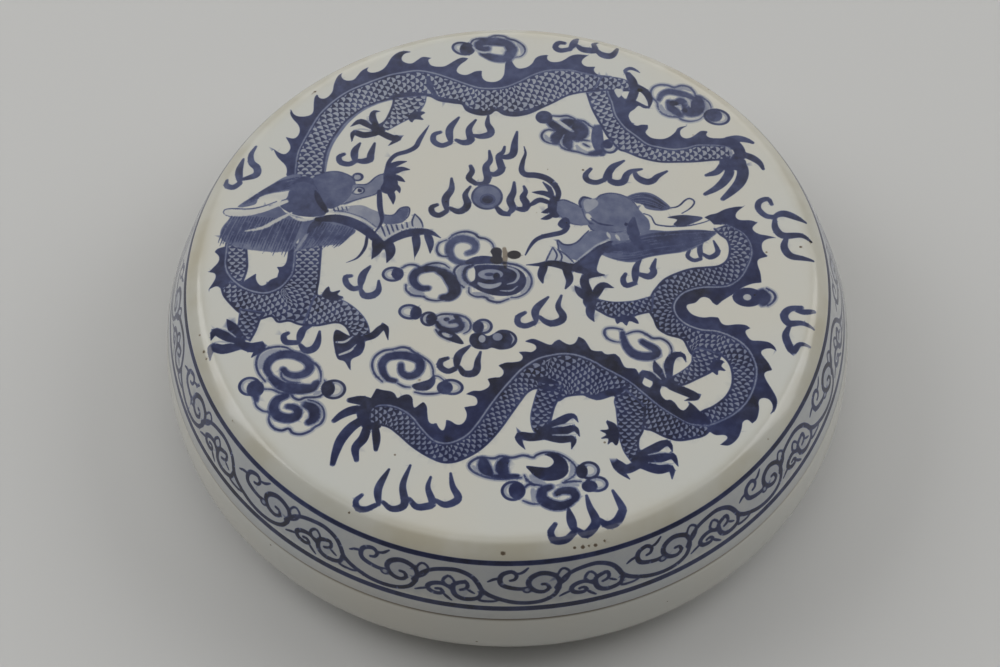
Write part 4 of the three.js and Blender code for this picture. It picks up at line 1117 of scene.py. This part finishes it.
def thinned(q, cell):
    """Numbers of the points that come first in their square cell of the given size."""
    key = np.floor(q / cell).astype(np.int64)
    return np.sort(np.unique(key[:, 0] * ROW_PRIME + key[:, 1], return_index=True)[1])


def triangulated(q, kept_edges):
    """Delaunay triangles of flat points, none of which crosses a kept edge: points, corners and origins."""
    flat, _, triangles, origin, *_ = delaunay_2d_cdt([Vector(p) for p in q], kept_edges, [], 0, 1e-6)
    return np.array([p[:] for p in flat]), np.array(triangles), np.array([numbers[0] for numbers in origin])


def canvas(sheet, fixed, loose, drawn, cell, kept_edges=()):
    """Painted triangles over fixed and loose points and those edge points that matter: a point whose
    neighbours all have its colour lies under a later wash and is dropped."""
    free = np.vstack([drawn, loose])
    picked = thinned(free, cell)
    always = np.concatenate([np.ones(len(fixed), bool), picked >= len(drawn)])
    q, tris, origin = triangulated(np.vstack([fixed, free[picked]]), kept_edges)
    layer = paint(sheet, q)
    mixed = layer["cobalt"] + 2 * layer["iron"] + layer["scaled"]
    widest = np.zeros(len(q))
    np.maximum.at(widest, tris, np.ptp(mixed[tris], axis=1)[:, None])
    keep = always[origin] | (widest > LEAST_STEP)
    q, tris, origin = triangulated(q[keep], kept_edges)
    return q, tris, {name: values[keep][origin] for name, values in layer.items()}


print("canvas tools ready")

# %% [markdown]
# The lid's mesh has three patches on one outline: the top with its shoulder, flattened so that distance from
# the middle is distance along the outline; the scroll band, unrolled; and the inside with the rim, a plain
# turned grid. The patches share rings of points, so they weld into one closed shell.

# %% Patches of the lid
TURNS = 384
SEAM_ANGLE = math.radians(-68.0)
turn_angles = np.linspace(0.0, 2 * np.pi, TURNS + 1) + SEAM_ANGLE
ABOVE_LINE, BELOW_LINE = 1.1, 1.5
CANVAS_RADIUS = lid_run[-1] - UPPER_LINE - ABOVE_LINE
BAND_FLOOR, BAND_CEILING = -BELOW_LINE, BAND_TALL + ABOVE_LINE
GRID, GRID_HALF = 2.0, 90.0
BORDER = 0.3
TOP_CELL, BAND_CELL = 0.23, 0.28


def crossed(across, up):
    """Points of a flat grid from the places of its columns and rows."""
    return np.stack(np.meshgrid(across, up), -1).reshape(-1, 2)


def ring(radius):
    """Points of a circle on the flattened top, at the shared turning angles."""
    return radius * np.stack([np.sin(turn_angles[:-1]), -np.cos(turn_angles[:-1])], 1)


def on_outline(run):
    """Radius and height of the lid's outline at a distance along it."""
    return np.interp(run, lid_run, lid_profile[:, 0]), np.interp(run, lid_run, lid_profile[:, 1])


def placed(radius, angle, height):
    """Points in space from radius, angle from the front towards +X, and height."""
    return np.stack([radius * np.sin(angle), -radius * np.cos(angle), height], -1)


flat_run = lid_run[-1] - TOP_EDGE
grid = np.arange(-GRID_HALF, GRID_HALF, GRID)
loose = crossed(grid, grid)
loose[:, 0] += GRID / 2 * (np.round(loose[:, 1] / GRID) % 2)
loose = loose[np.hypot(*loose.T) < flat_run - GRID]
shoulder = lid_profile[(lid_run > UPPER_LINE + ABOVE_LINE) & (lid_run < TOP_EDGE + GRID)]
shoulder_runs = lid_run[-1] - run_at(*shoulder[0]) - along(spent(shoulder, straight=1.3, bend=7.0))
shoulder_rings = np.vstack([ring(radius) for radius in shoulder_runs[1:]])
drawn = edge_rows(top)
drawn = drawn[np.hypot(*drawn.T) < CANVAS_RADIUS - BORDER]
loose = np.vstack([shoulder_rings, loose])
top_flat, top_tris, top_layer = canvas(top, ring(CANVAS_RADIUS), loose, drawn, TOP_CELL)
print(f"top: {len(top_flat)} points, {len(top_tris)} triangles")

# %% Unrolled band
band_u = turn_angles * BAND_RADIUS
LOWER_HALF, UPPER_HALF = 0.78, 0.72
GROUND_BLUE, RIM_BLUE, LINE_BLUE = 0.07, 0.05, 0.95
GROUND_FADE, LINE_MARGIN = 0.5, 0.4
line_rows = np.concatenate([edge + np.array([-BLEED, BLEED]) for edge in
                            (-LOWER_HALF, LOWER_HALF, BAND_TALL - UPPER_HALF, BAND_TALL + UPPER_HALF)])
rows_h = np.concatenate([line_rows, [BAND_FLOOR, BAND_CEILING]])
rows = crossed(band_u, rows_h)
number = np.arange(len(rows)).reshape(len(rows_h), -1)
kept_edges = np.stack([number[:, :-1].ravel(), number[:, 1:].ravel()], 1).tolist()
inner_h = np.arange(GRID, BAND_TALL - GRID / 2, GRID)
seam = crossed(band_u[[0, -1]], inner_h)
lines = crossed(band_u[1:-1:2], inner_h)
drawn = edge_rows(band)
inside = (drawn[:, 0] > band_u[0] + BORDER) & (drawn[:, 0] < band_u[-1] - BORDER)
inside &= (drawn[:, 1] > LOWER_HALF + LINE_MARGIN) & (drawn[:, 1] < BAND_TALL - UPPER_HALF - LINE_MARGIN)
fixed = np.vstack([rows, seam])
band_flat, band_tris, band_layer = canvas(band, fixed, lines, drawn[inside], BAND_CELL, kept_edges)
band_h = band_flat[:, 1]
ground = ramp(band_h - LOWER_HALF, GROUND_FADE) * ramp(BAND_TALL - band_h, GROUND_FADE)
low_line = bled(LOWER_HALF - np.abs(band_h))
high_line = bled(UPPER_HALF - np.abs(band_h - BAND_TALL))
blues = [GROUND_BLUE * ground, RIM_BLUE * (band_h < 0), LINE_BLUE * low_line, LINE_BLUE * high_line]
band_layer["cobalt"] = np.maximum.reduce([band_layer["cobalt"], *blues])
print(f"band: {len(band_flat)} points, {len(band_tris)} triangles")

# %% [markdown]
# Each patch also gets a place in one square map, so that the painted top takes most of it when the finish is
# baked: the top is a large disc, the band is two strips, and the inside takes the corner that is left.

# %% Shells
WELD_CELLS = 2000  # points in the same cell of 1 / 2000 mm become one


def turned(profile, angles):
    """Grid of a profile turned through the angles, with the corner numbers of its triangles."""
    rows, columns = len(profile), len(angles)
    where = placed(profile[:, :1], angles[None], profile[:, 1:] * np.ones((1, columns)))
    corner = np.arange(rows * columns).reshape(rows, columns)
    a, b, c, d = corner[:-1, :-1], corner[:-1, 1:], corner[1:, 1:], corner[1:, :-1]
    tris = np.concatenate([np.stack([a, b, c], -1).reshape(-1, 3), np.stack([a, c, d], -1).reshape(-1, 3)])
    return where.reshape(-1, 3), tris


def shell(name, patches):
    """Welds patches of points, triangles, map places per corner and layers into one smooth mesh object."""
    count = np.cumsum([0] + [len(patch["co"]) for patch in patches])
    co = np.vstack([patch["co"] for patch in patches])
    tris = np.vstack([patch["tris"] + start for patch, start in zip(patches, count)])
    uv = np.vstack([patch["uv"] for patch in patches])
    cells = np.round(co * WELD_CELLS).astype(np.int64)
    _, first, weld = np.unique(cells, axis=0, return_index=True, return_inverse=True)
    tris = weld.reshape(-1)[tris]
    solid = (tris[:, 0] != tris[:, 1]) & (tris[:, 1] != tris[:, 2]) & (tris[:, 2] != tris[:, 0])
    tris, uv = tris[solid], uv[solid]
    mesh = bpy.data.meshes.new(name)
    mesh.vertices.add(len(first))
    mesh.vertices.foreach_set("co", (co[first] * MM).ravel())
    mesh.loops.add(tris.size)
    mesh.loops.foreach_set("vertex_index", tris.ravel())
    mesh.polygons.add(len(tris))
    mesh.polygons.foreach_set("loop_start", np.arange(0, tris.size, 3))
    mesh.update(calc_edges=True)
    mesh.shade_smooth()
    places = mesh.uv_layers.new(name="OFBake")
    places.uv.foreach_set("vector", uv.ravel())
    for layer in patches[0]["layer"]:
        values = np.concatenate([patch["layer"][layer] for patch in patches])[first]
        mesh.attributes.new(layer, "FLOAT", "POINT").data.foreach_set("value", values.astype(np.float32))
    mesh.validate()
    piece = bpy.data.objects.new(name, mesh)
    bpy.context.scene.collection.objects.link(piece)
    edges = np.sort(np.vstack([tris[:, [0, 1]], tris[:, [1, 2]], tris[:, [2, 0]]]), axis=1)
    shared = np.unique(edges, axis=0, return_counts=True)[1]
    print(f"{name}: {len(first)} points, {len(tris)} triangles, {np.sum(shared != 2)} open edges")
    return piece


def disc_map(flat, centre, scale):
    """Map places of a flat disc."""
    return np.array(centre) + flat * scale


def unfolded(profile, angles, centre, reach):
    """Map places of a turned grid: a disc in which the distance along the profile is the distance from the
    middle, up to reach."""
    run = np.repeat(along(profile), len(angles))
    sine, cosine = (np.tile(wave(angles), len(profile)) for wave in (np.sin, np.cos))
    return disc_map(np.stack([run * sine, run * cosine], 1), centre, reach / run.max())


print("shell tools ready")

# %% The lid as one closed shell
TOUCH = 0.01
WEAR_INSET, WEAR_WIDTH = 2.5, 3.5
FAR_PAINTED_VEIL = 0.06
BARE_INSET, SHADE_AND_DIRT_INSET, BLUE_INSET, RIM_FADE = 0.9, 1.5, 1.0, 0.4
UNDER_REACH, UNDER_FADE, UNDER_BLUE, RIM_SHADE_AND_DIRT = 0.35, 0.25, 0.5, 0.4
TOP_CENTRE, TOP_REACH = (0.335, 0.665), 0.33
INSIDE_CENTRE, INSIDE_REACH = (0.835, 0.835), 0.16
STRIP_LONG, STRIP_MARGIN, STRIP_FEET = 0.98, 0.01, np.array([0.24, 0.16])


def on_rings(angle, chosen):
    """Angles with the chosen ones moved exactly onto the shared turning angles, so that patches weld."""
    step = turn_angles[1] - turn_angles[0]
    number = np.round((angle - turn_angles[0]) / step).astype(int) % TURNS
    return np.where(chosen, turn_angles[number], angle)


top_radius = np.hypot(*top_flat.T)
at_border = top_radius > CANVAS_RADIUS - TOUCH
top_angle = on_rings(np.arctan2(top_flat[:, 0], -top_flat[:, 1]), at_border)
radius, height = on_outline(np.where(at_border, LOWER_LINE + BAND_CEILING, lid_run[-1] - top_radius))
top_layer["edge"] = ramp(top_radius - flat_run + WEAR_INSET, WEAR_WIDTH)
top_layer["bare"] = np.zeros(len(top_flat))
# Painted reflection: the cobalt is made a little paler towards the far side and darker towards the near side.
# It stands in for the veil that the glaze reflects on its far half.
top_layer["cobalt"] *= 1.0 - FAR_PAINTED_VEIL * top_flat[:, 1] / CANVAS_RADIUS
top_patch = {"co": placed(radius, top_angle, height), "tris": top_tris, "layer": top_layer,
             "uv": disc_map(top_flat, TOP_CENTRE, TOP_REACH / CANVAS_RADIUS)[top_tris]}

at_floor, at_ceiling = (np.abs(band_h - edge) < TOUCH for edge in (BAND_FLOOR, BAND_CEILING))
half_round = np.ptp(band_u) / 2
at_seam = np.abs(np.abs(band_flat[:, 0] - band_u.mean()) - half_round) < TOUCH
band_angle = on_rings(band_flat[:, 0] / BAND_RADIUS, at_floor | at_ceiling | at_seam)
band_run = np.where(at_floor, BAND_FLOOR, np.where(at_ceiling, BAND_CEILING, band_h))
radius, height = on_outline(LOWER_LINE + band_run)
band_layer["edge"] = ramp(band_h - BAND_TALL, 1.0)
band_layer["bare"] = np.zeros(len(band_flat))
strip_scale = STRIP_LONG / half_round
strip = (band_flat[band_tris, 0].mean(1) > band_u.mean()).astype(int)
strip_u = (band_flat[band_tris, 0] - band_u[0] - strip[:, None] * half_round) * strip_scale + STRIP_MARGIN
strip_v = (band_h[band_tris] - BAND_FLOOR) * strip_scale + STRIP_FEET[strip][:, None]
band_patch = {"co": placed(radius, band_angle, height), "tris": band_tris, "layer": band_layer,
              "uv": np.stack([strip_u, strip_v], -1)}

rest = lid_profile[lid_run <= LOWER_LINE + BAND_FLOOR + 1e-6]
rest = np.vstack([spent(rest, straight=30.0, bend=18.0)[:-1],
                  np.stack(on_outline(LOWER_LINE + BAND_FLOOR))[None]])
rest_co, rest_tris = turned(rest, turn_angles)
rest_radius, rest_height = np.hypot(rest_co[:, 0], rest_co[:, 1]), rest_co[:, 2]
under = ramp(RIM_BOTTOM + UNDER_REACH - rest_height, UNDER_FADE)
rest_layer = {name: np.zeros(len(rest_co)) for name in top_layer}
rest_layer["bare"] = under * ramp(SEAM_RADIUS - BARE_INSET - rest_radius, RIM_FADE)
# Painted shade of the gap at the seam, with some dirt: the outer under edge of the rim is darkened brown.
rest_layer["iron"] = RIM_SHADE_AND_DIRT * under * ramp(rest_radius - SEAM_RADIUS + SHADE_AND_DIRT_INSET, RIM_FADE)
rim_blue = RIM_BLUE + UNDER_BLUE * under
rest_layer["cobalt"] = rim_blue * ramp(rest_radius - SEAM_RADIUS + BLUE_INSET, RIM_FADE)
rest_patch = {"co": rest_co, "tris": rest_tris, "layer": rest_layer,
              "uv": unfolded(rest, turn_angles, INSIDE_CENTRE, INSIDE_REACH)[rest_tris]}
lid = shell("painted_lid", [top_patch, band_patch, rest_patch])

# %% [markdown]
# The base is the plain half: a bowl with a foot ring below and an upright flange above that keeps the lid
# in place. Foot and ledge are wiped clean before firing so that they don't stick, and stay bare clay. The
# outline follows the solid in the frame, with the glaze's soft edges.

# %% The base
FOOT_INSET, FOOT_WIDTH, FOOT_HEIGHT = 22.0, 5.0, 3.3
RECESS, FLOOR, FLOOR_COVE = 3.6, 9.0, 14.0
SLOPE_END, BELLY_FOOT, BELLY_HEIGHT, BELLY_NECK = (93.2, 8.24), 7.9, 18.4, 23.55
SEAM_GAP, FLANGE_PLAY, FLANGE_WIDTH, WALL = 0.3, 0.7, 2.6, 6.0
BASE_ROUND = 0.35
FOOT_WIPED, FOOT_FADE, SEAM_SHADE_AND_DIRT = 0.45, 0.3, 0.5
LEDGE_REACH, LEDGE_FADE, FLANGE_SIDE = 0.25, 0.2, 0.2
BASE_CENTRE, BASE_REACH = (0.5, 0.5), 0.49
FOOT_RADIUS, FOOT_INNER = BELLY_RADIUS - FOOT_INSET, BELLY_RADIUS - (FOOT_INSET + FOOT_WIDTH)
LEDGE = RIM_BOTTOM - SEAM_GAP
FLANGE_RADIUS = LID_INNER - FLANGE_PLAY
FLANGE_INNER = FLANGE_RADIUS - FLANGE_WIDTH
INNER_BELLY = BELLY_RADIUS - WALL
base_path = np.vstack([[(0.0, RECESS), (FOOT_INNER, RECESS), (FOOT_INNER, EDGE), (FOOT_INNER + EDGE, 0.0)],
                       [(FOOT_RADIUS - EDGE, 0.0), (FOOT_RADIUS, EDGE)],
                       bezier((FOOT_RADIUS, FOOT_HEIGHT), SLOPE_END, (BELLY_RADIUS, BELLY_FOOT),
                              (BELLY_RADIUS, BELLY_HEIGHT), steps=40),
                       bezier((BELLY_RADIUS, BELLY_HEIGHT), (BELLY_RADIUS, BELLY_NECK),
                              (SEAM_RADIUS, LEDGE - EDGE))[1:],
                       [(SEAM_RADIUS - EDGE, LEDGE), (FLANGE_RADIUS, LEDGE),
                        (FLANGE_RADIUS, FLANGE_TOP - EDGE)],
                       [(FLANGE_RADIUS - EDGE, FLANGE_TOP), (FLANGE_INNER + EDGE, FLANGE_TOP),
                        (FLANGE_INNER, FLANGE_TOP - EDGE)],
                       bezier((FLANGE_INNER, LEDGE), (INNER_BELLY, LEDGE), (INNER_BELLY, BELLY_HEIGHT)),
                       bezier((INNER_BELLY, BELLY_HEIGHT), (INNER_BELLY, FLOOR),
                              (INNER_BELLY - FLOOR_COVE, FLOOR))[1:], [(0.0, FLOOR)],])
base_profile = spent(softened(base_path, BASE_ROUND), straight=8.0, bend=8.0)
base_angles = turn_angles[::2]
base_co, base_tris = turned(base_profile, base_angles)
base_radius, base_height = np.hypot(base_co[:, 0], base_co[:, 1]), base_co[:, 2]
foot_bare = ramp(FOOT_WIPED - base_height, FOOT_FADE)
on_ledge = ramp(base_height - LEDGE + LEDGE_REACH, LEDGE_FADE)
on_ledge *= ramp(base_radius - FLANGE_INNER - FLANGE_SIDE, LEDGE_FADE)
ledge_bare = on_ledge * ramp(SEAM_RADIUS - BARE_INSET - base_radius, RIM_FADE)
# Painted shade of the gap at the seam, with some dirt: the outer edge of the ledge, under the lid's rim, is
# darkened brown.
seam_shade_and_dirt = SEAM_SHADE_AND_DIRT * on_ledge * ramp(base_radius - SEAM_RADIUS + SHADE_AND_DIRT_INSET, RIM_FADE)
base_layer = {"bare": np.maximum(foot_bare, ledge_bare), "edge": np.zeros(len(base_co)), "iron": seam_shade_and_dirt}
base_map = unfolded(base_profile, base_angles, BASE_CENTRE, BASE_REACH)
base_patch = {"co": base_co, "tris": base_tris, "layer": base_layer, "uv": base_map[base_tris]}
base = shell("glazed_base", [base_patch])

# %% [markdown]
# Cobalt under glaze works like a filter: light passes the clear glaze, is partly absorbed by the pigment, and
# comes back from the white body. Absorption multiplies, so the colour is the glaze's colour times a full
# coat's transmission raised to the power of the amount of pigment. Thin washes come out grey-blue and full
# strokes almost black without a hand-made ramp. Effects that both pieces use are node groups.

# %% Small tools for shader trees
def feed(tree, sockets, values):
    """Gives each socket its value: a number, a colour or a link from another node."""
    for socket, value in zip(sockets, values):
        if isinstance(value, bpy.types.NodeSocket):
            tree.links.new(value, socket)
        else:
            socket.default_value = value


def add(tree, kind, *values, **settings):
    """A shader node with its settings and the values of its first sockets."""
    made = tree.nodes.new(kind)
    for name, value in settings.items():
        setattr(made, name, value)
    feed(tree, made.inputs, values)
    return made


def calc(tree, operation, *values):
    """One step of arithmetic."""
    return add(tree, "ShaderNodeMath", *values, operation=operation).outputs[0]


def graded(tree, value, low, high, first=0.0, last=1.0):
    """A smooth step from first to last while a value goes from low to high."""
    limits = (low, high, first, last)
    return add(tree, "ShaderNodeMapRange", value, *limits, interpolation_type="SMOOTHSTEP").outputs[0]


def blended(tree, share, one, two, blend="MIX"):
    """A blend of two colours; multiplied when asked for."""
    mix = add(tree, "ShaderNodeMix", data_type="RGBA", blend_type=blend)
    feed(tree, (mix.inputs["Factor"], mix.inputs[6], mix.inputs[7]), (share, one, two))
    return mix.outputs[2]


def multiplied(tree, one, two):
    """Product of two colours."""
    return blended(tree, 1.0, one, two, "MULTIPLY")


def node_group(name, inputs, outputs):
    """An empty node group with its named inputs and outputs."""
    tree = bpy.data.node_groups.new(name, "ShaderNodeTree")
    for side, sockets in (("INPUT", inputs), ("OUTPUT", outputs)):
        for label, kind in sockets:
            tree.interface.new_socket(label, in_out=side, socket_type=f"NodeSocket{kind}")
    return tree, tree.nodes.new("NodeGroupInput").outputs, tree.nodes.new("NodeGroupOutput").inputs


def noise(tree, place, scale, detail=2.0, roughness=0.5):
    """Smooth noise between 0 and 1 at a number of lumps per metre."""
    made = add(tree, "ShaderNodeTexNoise", place)
    feed(tree, [made.inputs[name] for name in ("Scale", "Detail", "Roughness")], (scale, detail, roughness))
    return made.outputs[0]


print("shader tools ready")

# %% Filter of one pigment
def filter_group(name, coat):
    """Colour that passes an amount of pigment: the coat's transmission to the power of the amount."""
    tree, given, result = node_group(name, [("Amount", "Float")], [("Color", "Color")])
    channels = [calc(tree, "POWER", share, given["Amount"]) for share in coat]
    tree.links.new(add(tree, "ShaderNodeCombineColor", *channels).outputs[0], result["Color"])
    return tree


COBALT_COAT = (0.020, 0.030, 0.130)
# The brown of iron specks and marks, also used for the painted shade at the seam.
IRON_AND_SHADE_COAT = (0.060, 0.038, 0.025)
cobalt_filter = filter_group("cobalt_filter", COBALT_COAT)
iron_filter = filter_group("iron_filter", IRON_AND_SHADE_COAT)
print("filters:", cobalt_filter.name, iron_filter.name)

# %% Lattice of scales
# Run plus gap and run minus gap count two sets of slanting lines, which cut a body into diamonds. Each
# diamond keeps a pale spot, flattened along the body, bent by the square of its place across and larger on
# thin cobalt.
WOBBLE_GRAIN, WOBBLE = 380.0, 0.42
BOW, SPOT_MIDDLE, SPOT_FLATTEN, SPOT_NARROW = 0.7, 1.3, 2.6, 1.25
SPOT_ON_BARE, SPOT_SHRINK, SPOT_SOFT = 1.6, -1.1, 0.22
LATTICE_INPUTS = [("Place", "Vector"), ("Run", "Float"), ("Gap", "Float"), ("Fill", "Float")]
tree, given, result = node_group("scale_lattice", LATTICE_INPUTS, [("Ink", "Float")])
wobble = noise(tree, given["Place"], WOBBLE_GRAIN, 1.0)
run = calc(tree, "MULTIPLY_ADD", wobble, WOBBLE, given["Run"])
forward = calc(tree, "FRACT", calc(tree, "ADD", run, given["Gap"]))
backward = calc(tree, "FRACT", calc(tree, "SUBTRACT", run, given["Gap"]))
across = calc(tree, "SUBTRACT", forward, backward)
square = calc(tree, "MULTIPLY", across, across)
bent = calc(tree, "MULTIPLY_ADD", square, BOW, calc(tree, "ADD", forward, backward))
ahead = calc(tree, "MULTIPLY", calc(tree, "SUBTRACT", bent, SPOT_MIDDLE), SPOT_FLATTEN)
aside = calc(tree, "MULTIPLY", across, SPOT_NARROW)
squares = [calc(tree, "MULTIPLY", part, part) for part in (ahead, aside)]
spot = calc(tree, "SQRT", calc(tree, "ADD", *squares))
pale = calc(tree, "MULTIPLY_ADD", given["Fill"], SPOT_SHRINK, SPOT_ON_BARE)
ink = graded(tree, calc(tree, "SUBTRACT", spot, pale), -SPOT_SOFT, SPOT_SOFT)
tree.links.new(ink, result["Ink"])
scale_lattice = tree
print("lattice of scales:", len(tree.nodes), "nodes")

# %% Kiln specks and the skin of the glaze
# A speck sits in the middle of those cells of a cell pattern whose random number lies above a limit.
SPECK_SHARE, SPECK_SIZE, SPECK_SOFT = 0.86, 0.11, 0.05
WARM_GLAZE, COOL_GLAZE = (1.0, 0.985, 0.95, 1.0), (0.965, 0.985, 1.0, 1.0)
SMOOTHEST, ROUGHEST = 0.14, 0.22
BROAD_GRAIN, FINE_GRAIN = 22.0, 160.0
PEEL_GRAIN, PEEL = 420.0, 0.15
tree, given, result = node_group("kiln_specks", [("Place", "Vector"), ("Spacing", "Float")],
                                 [("Mask", "Float")])
cells = add(tree, "ShaderNodeTexVoronoi", given["Place"])
tree.links.new(given["Spacing"], cells.inputs["Scale"])
lottery = add(tree, "ShaderNodeSeparateColor", cells.outputs["Color"]).outputs[0]
size = graded(tree, lottery, SPECK_SHARE, 1.0, 0.0, SPECK_SIZE)
spot = calc(tree, "SUBTRACT", size, cells.outputs["Distance"])
tree.links.new(graded(tree, spot, 0.0, SPECK_SOFT), result["Mask"])
kiln_specks = tree

tree, given, result = node_group("glaze_skin", [("Place", "Vector")],
                                 [("Tint", "Color"), ("Roughness", "Float"), ("Height", "Float")])
broad = noise(tree, given["Place"], BROAD_GRAIN)
fine = noise(tree, given["Place"], FINE_GRAIN, 3.0)
tree.links.new(blended(tree, graded(tree, broad, 0.3, 0.7), WARM_GLAZE, COOL_GLAZE), result["Tint"])
tree.links.new(graded(tree, fine, 0.25, 0.75, SMOOTHEST, ROUGHEST), result["Roughness"])
peel = noise(tree, given["Place"], PEEL_GRAIN, 1.0)
tree.links.new(calc(tree, "MULTIPLY_ADD", peel, PEEL, broad), result["Height"])
glaze_skin = tree
print("node groups:", [group.name for group in bpy.data.node_groups])

# %% [markdown]
# Each glaze is one Principled shader. The pigment lies under the gloss, so it changes the base colour only.
# Where the clay was wiped bare, colour and roughness change together.

# %% Glazes
LID_WHITE, BASE_WHITE = (0.50, 0.495, 0.455), (0.50, 0.49, 0.45)
BARE_CLAY, CLAY_ROUGHNESS = (0.55, 0.48, 0.39), 0.75
WORN_TINT, THICK_TINT = (0.83, 0.79, 0.70, 1.0), (0.94, 0.80, 0.60, 1.0)
SPECK_SPACING, SPECK_TONE = 230.0, 0.35
LATTICE_LEVEL, LATTICE_SWING = 0.55, 0.62
WATER_GRAIN, FLOW_GRAIN, WORN_GRAIN = 330.0, 75.0, 60.0
HEAPED_IRON = 0.16
PEEL_STRENGTH, PEEL_DEPTH = 0.25, 0.0004
GLAZE_IOR = 1.5


def grouped(tree, group, *values):
    """A group node with the values of its sockets."""
    return add(tree, "ShaderNodeGroup", *values, node_tree=group).outputs


def stored(tree, name):
    """A value that the mesh carries at its points."""
    return add(tree, "ShaderNodeAttribute", attribute_name=name).outputs["Fac"]


def cobalt_amount(tree, place):
    """Cobalt at a point: the brushed amount, swung up and down by the scales, times two uneven waters."""
    cobalt = stored(tree, "cobalt")
    lattice = grouped(tree, scale_lattice, place, stored(tree, "scale_run"), stored(tree, "scale_gap"),
                      cobalt)["Ink"]
    swing = calc(tree, "MULTIPLY", calc(tree, "SUBTRACT", lattice, LATTICE_LEVEL), LATTICE_SWING)
    amount = calc(tree, "MULTIPLY_ADD", swing, stored(tree, "scaled"), cobalt)
    water = calc(tree, "MULTIPLY_ADD", noise(tree, place, WATER_GRAIN, 3.0, 0.6), 0.8, 0.6)
    flow = calc(tree, "MULTIPLY_ADD", noise(tree, place, FLOW_GRAIN, 2.0), 0.7, 0.65)
    return calc(tree, "MULTIPLY", amount, calc(tree, "MULTIPLY", water, flow))


def patches_of(tree, place, amount, thin, thick, grain, rare, common):
    """Mask of thick cobalt, broken up by noise of one grain."""
    broken = graded(tree, noise(tree, place, grain, 2.0), rare, common)
    return calc(tree, "MULTIPLY", graded(tree, amount, thin, thick), broken)


def glaze(name, white, painted):
    """A clear glaze over a pale body, with cobalt under it where the mesh carries some."""
    finish = bpy.data.materials.new(name)
    finish.use_nodes = True
    tree = finish.node_tree
    shader = tree.nodes["Principled BSDF"]
    place = add(tree, "ShaderNodeTexCoord").outputs["Object"]
    skin = grouped(tree, glaze_skin, place)
    colour = multiplied(tree, (*white, 1.0), skin["Tint"])
    worn = graded(tree, noise(tree, place, WORN_GRAIN, 3.0), 0.35, 0.65, 0.4, 1.0)
    edge = calc(tree, "MULTIPLY", stored(tree, "edge"), worn)
    colour = blended(tree, edge, colour, multiplied(tree, colour, WORN_TINT))
    specks = calc(tree, "MULTIPLY", grouped(tree, kiln_specks, place, SPECK_SPACING)["Mask"], SPECK_TONE)
    # Iron specks and marks, together with the painted shade at the seam, darken the colour through the brown
    # filter.
    iron = calc(tree, "MAXIMUM", specks, stored(tree, "iron"))
    if painted:
        amount = cobalt_amount(tree, place)
        colour = multiplied(tree, colour, grouped(tree, cobalt_filter, amount)["Color"])
        rusty = patches_of(tree, place, amount, 0.55, 0.95, grain=40.0, rare=0.42, common=0.62)
        colour = blended(tree, rusty, colour, THICK_TINT, "MULTIPLY")
        heaped = patches_of(tree, place, amount, 0.8, 1.1, grain=160.0, rare=0.5, common=0.7)
        iron = calc(tree, "MULTIPLY_ADD", heaped, HEAPED_IRON, iron)
    colour = multiplied(tree, colour, grouped(tree, iron_filter, iron)["Color"])
    bare = stored(tree, "bare")
    tree.links.new(blended(tree, bare, colour, (*BARE_CLAY, 1.0)), shader.inputs["Base Color"])
    rough = add(tree, "ShaderNodeMapRange", bare, 0.0, 1.0, skin["Roughness"], CLAY_ROUGHNESS).outputs[0]
    tree.links.new(rough, shader.inputs["Roughness"])
    bump = tree.nodes.new("ShaderNodeBump")
    feed(tree, (bump.inputs["Strength"], bump.inputs["Distance"], bump.inputs["Height"]),
         (PEEL_STRENGTH, PEEL_DEPTH, skin["Height"]))
    tree.links.new(bump.outputs["Normal"], shader.inputs["Normal"])
    shader.inputs["IOR"].default_value = GLAZE_IOR
    return finish


painted_glaze = glaze("painted_glaze", LID_WHITE, painted=True)
plain_glaze = glaze("plain_glaze", BASE_WHITE, painted=False)
lid.data.materials.append(painted_glaze)
base.data.materials.append(plain_glaze)
print("materials:", painted_glaze.name, plain_glaze.name)

# %% [markdown]
# Last, each piece is tied to the part it shows. The lid rides on its own body, so it lifts off with the slide
# joint, and each piece takes the place of the plain solid in the frame.

# %% Pieces in the frame
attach(lid, "lid")
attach(base, "base")
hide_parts("lid")
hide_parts("base")
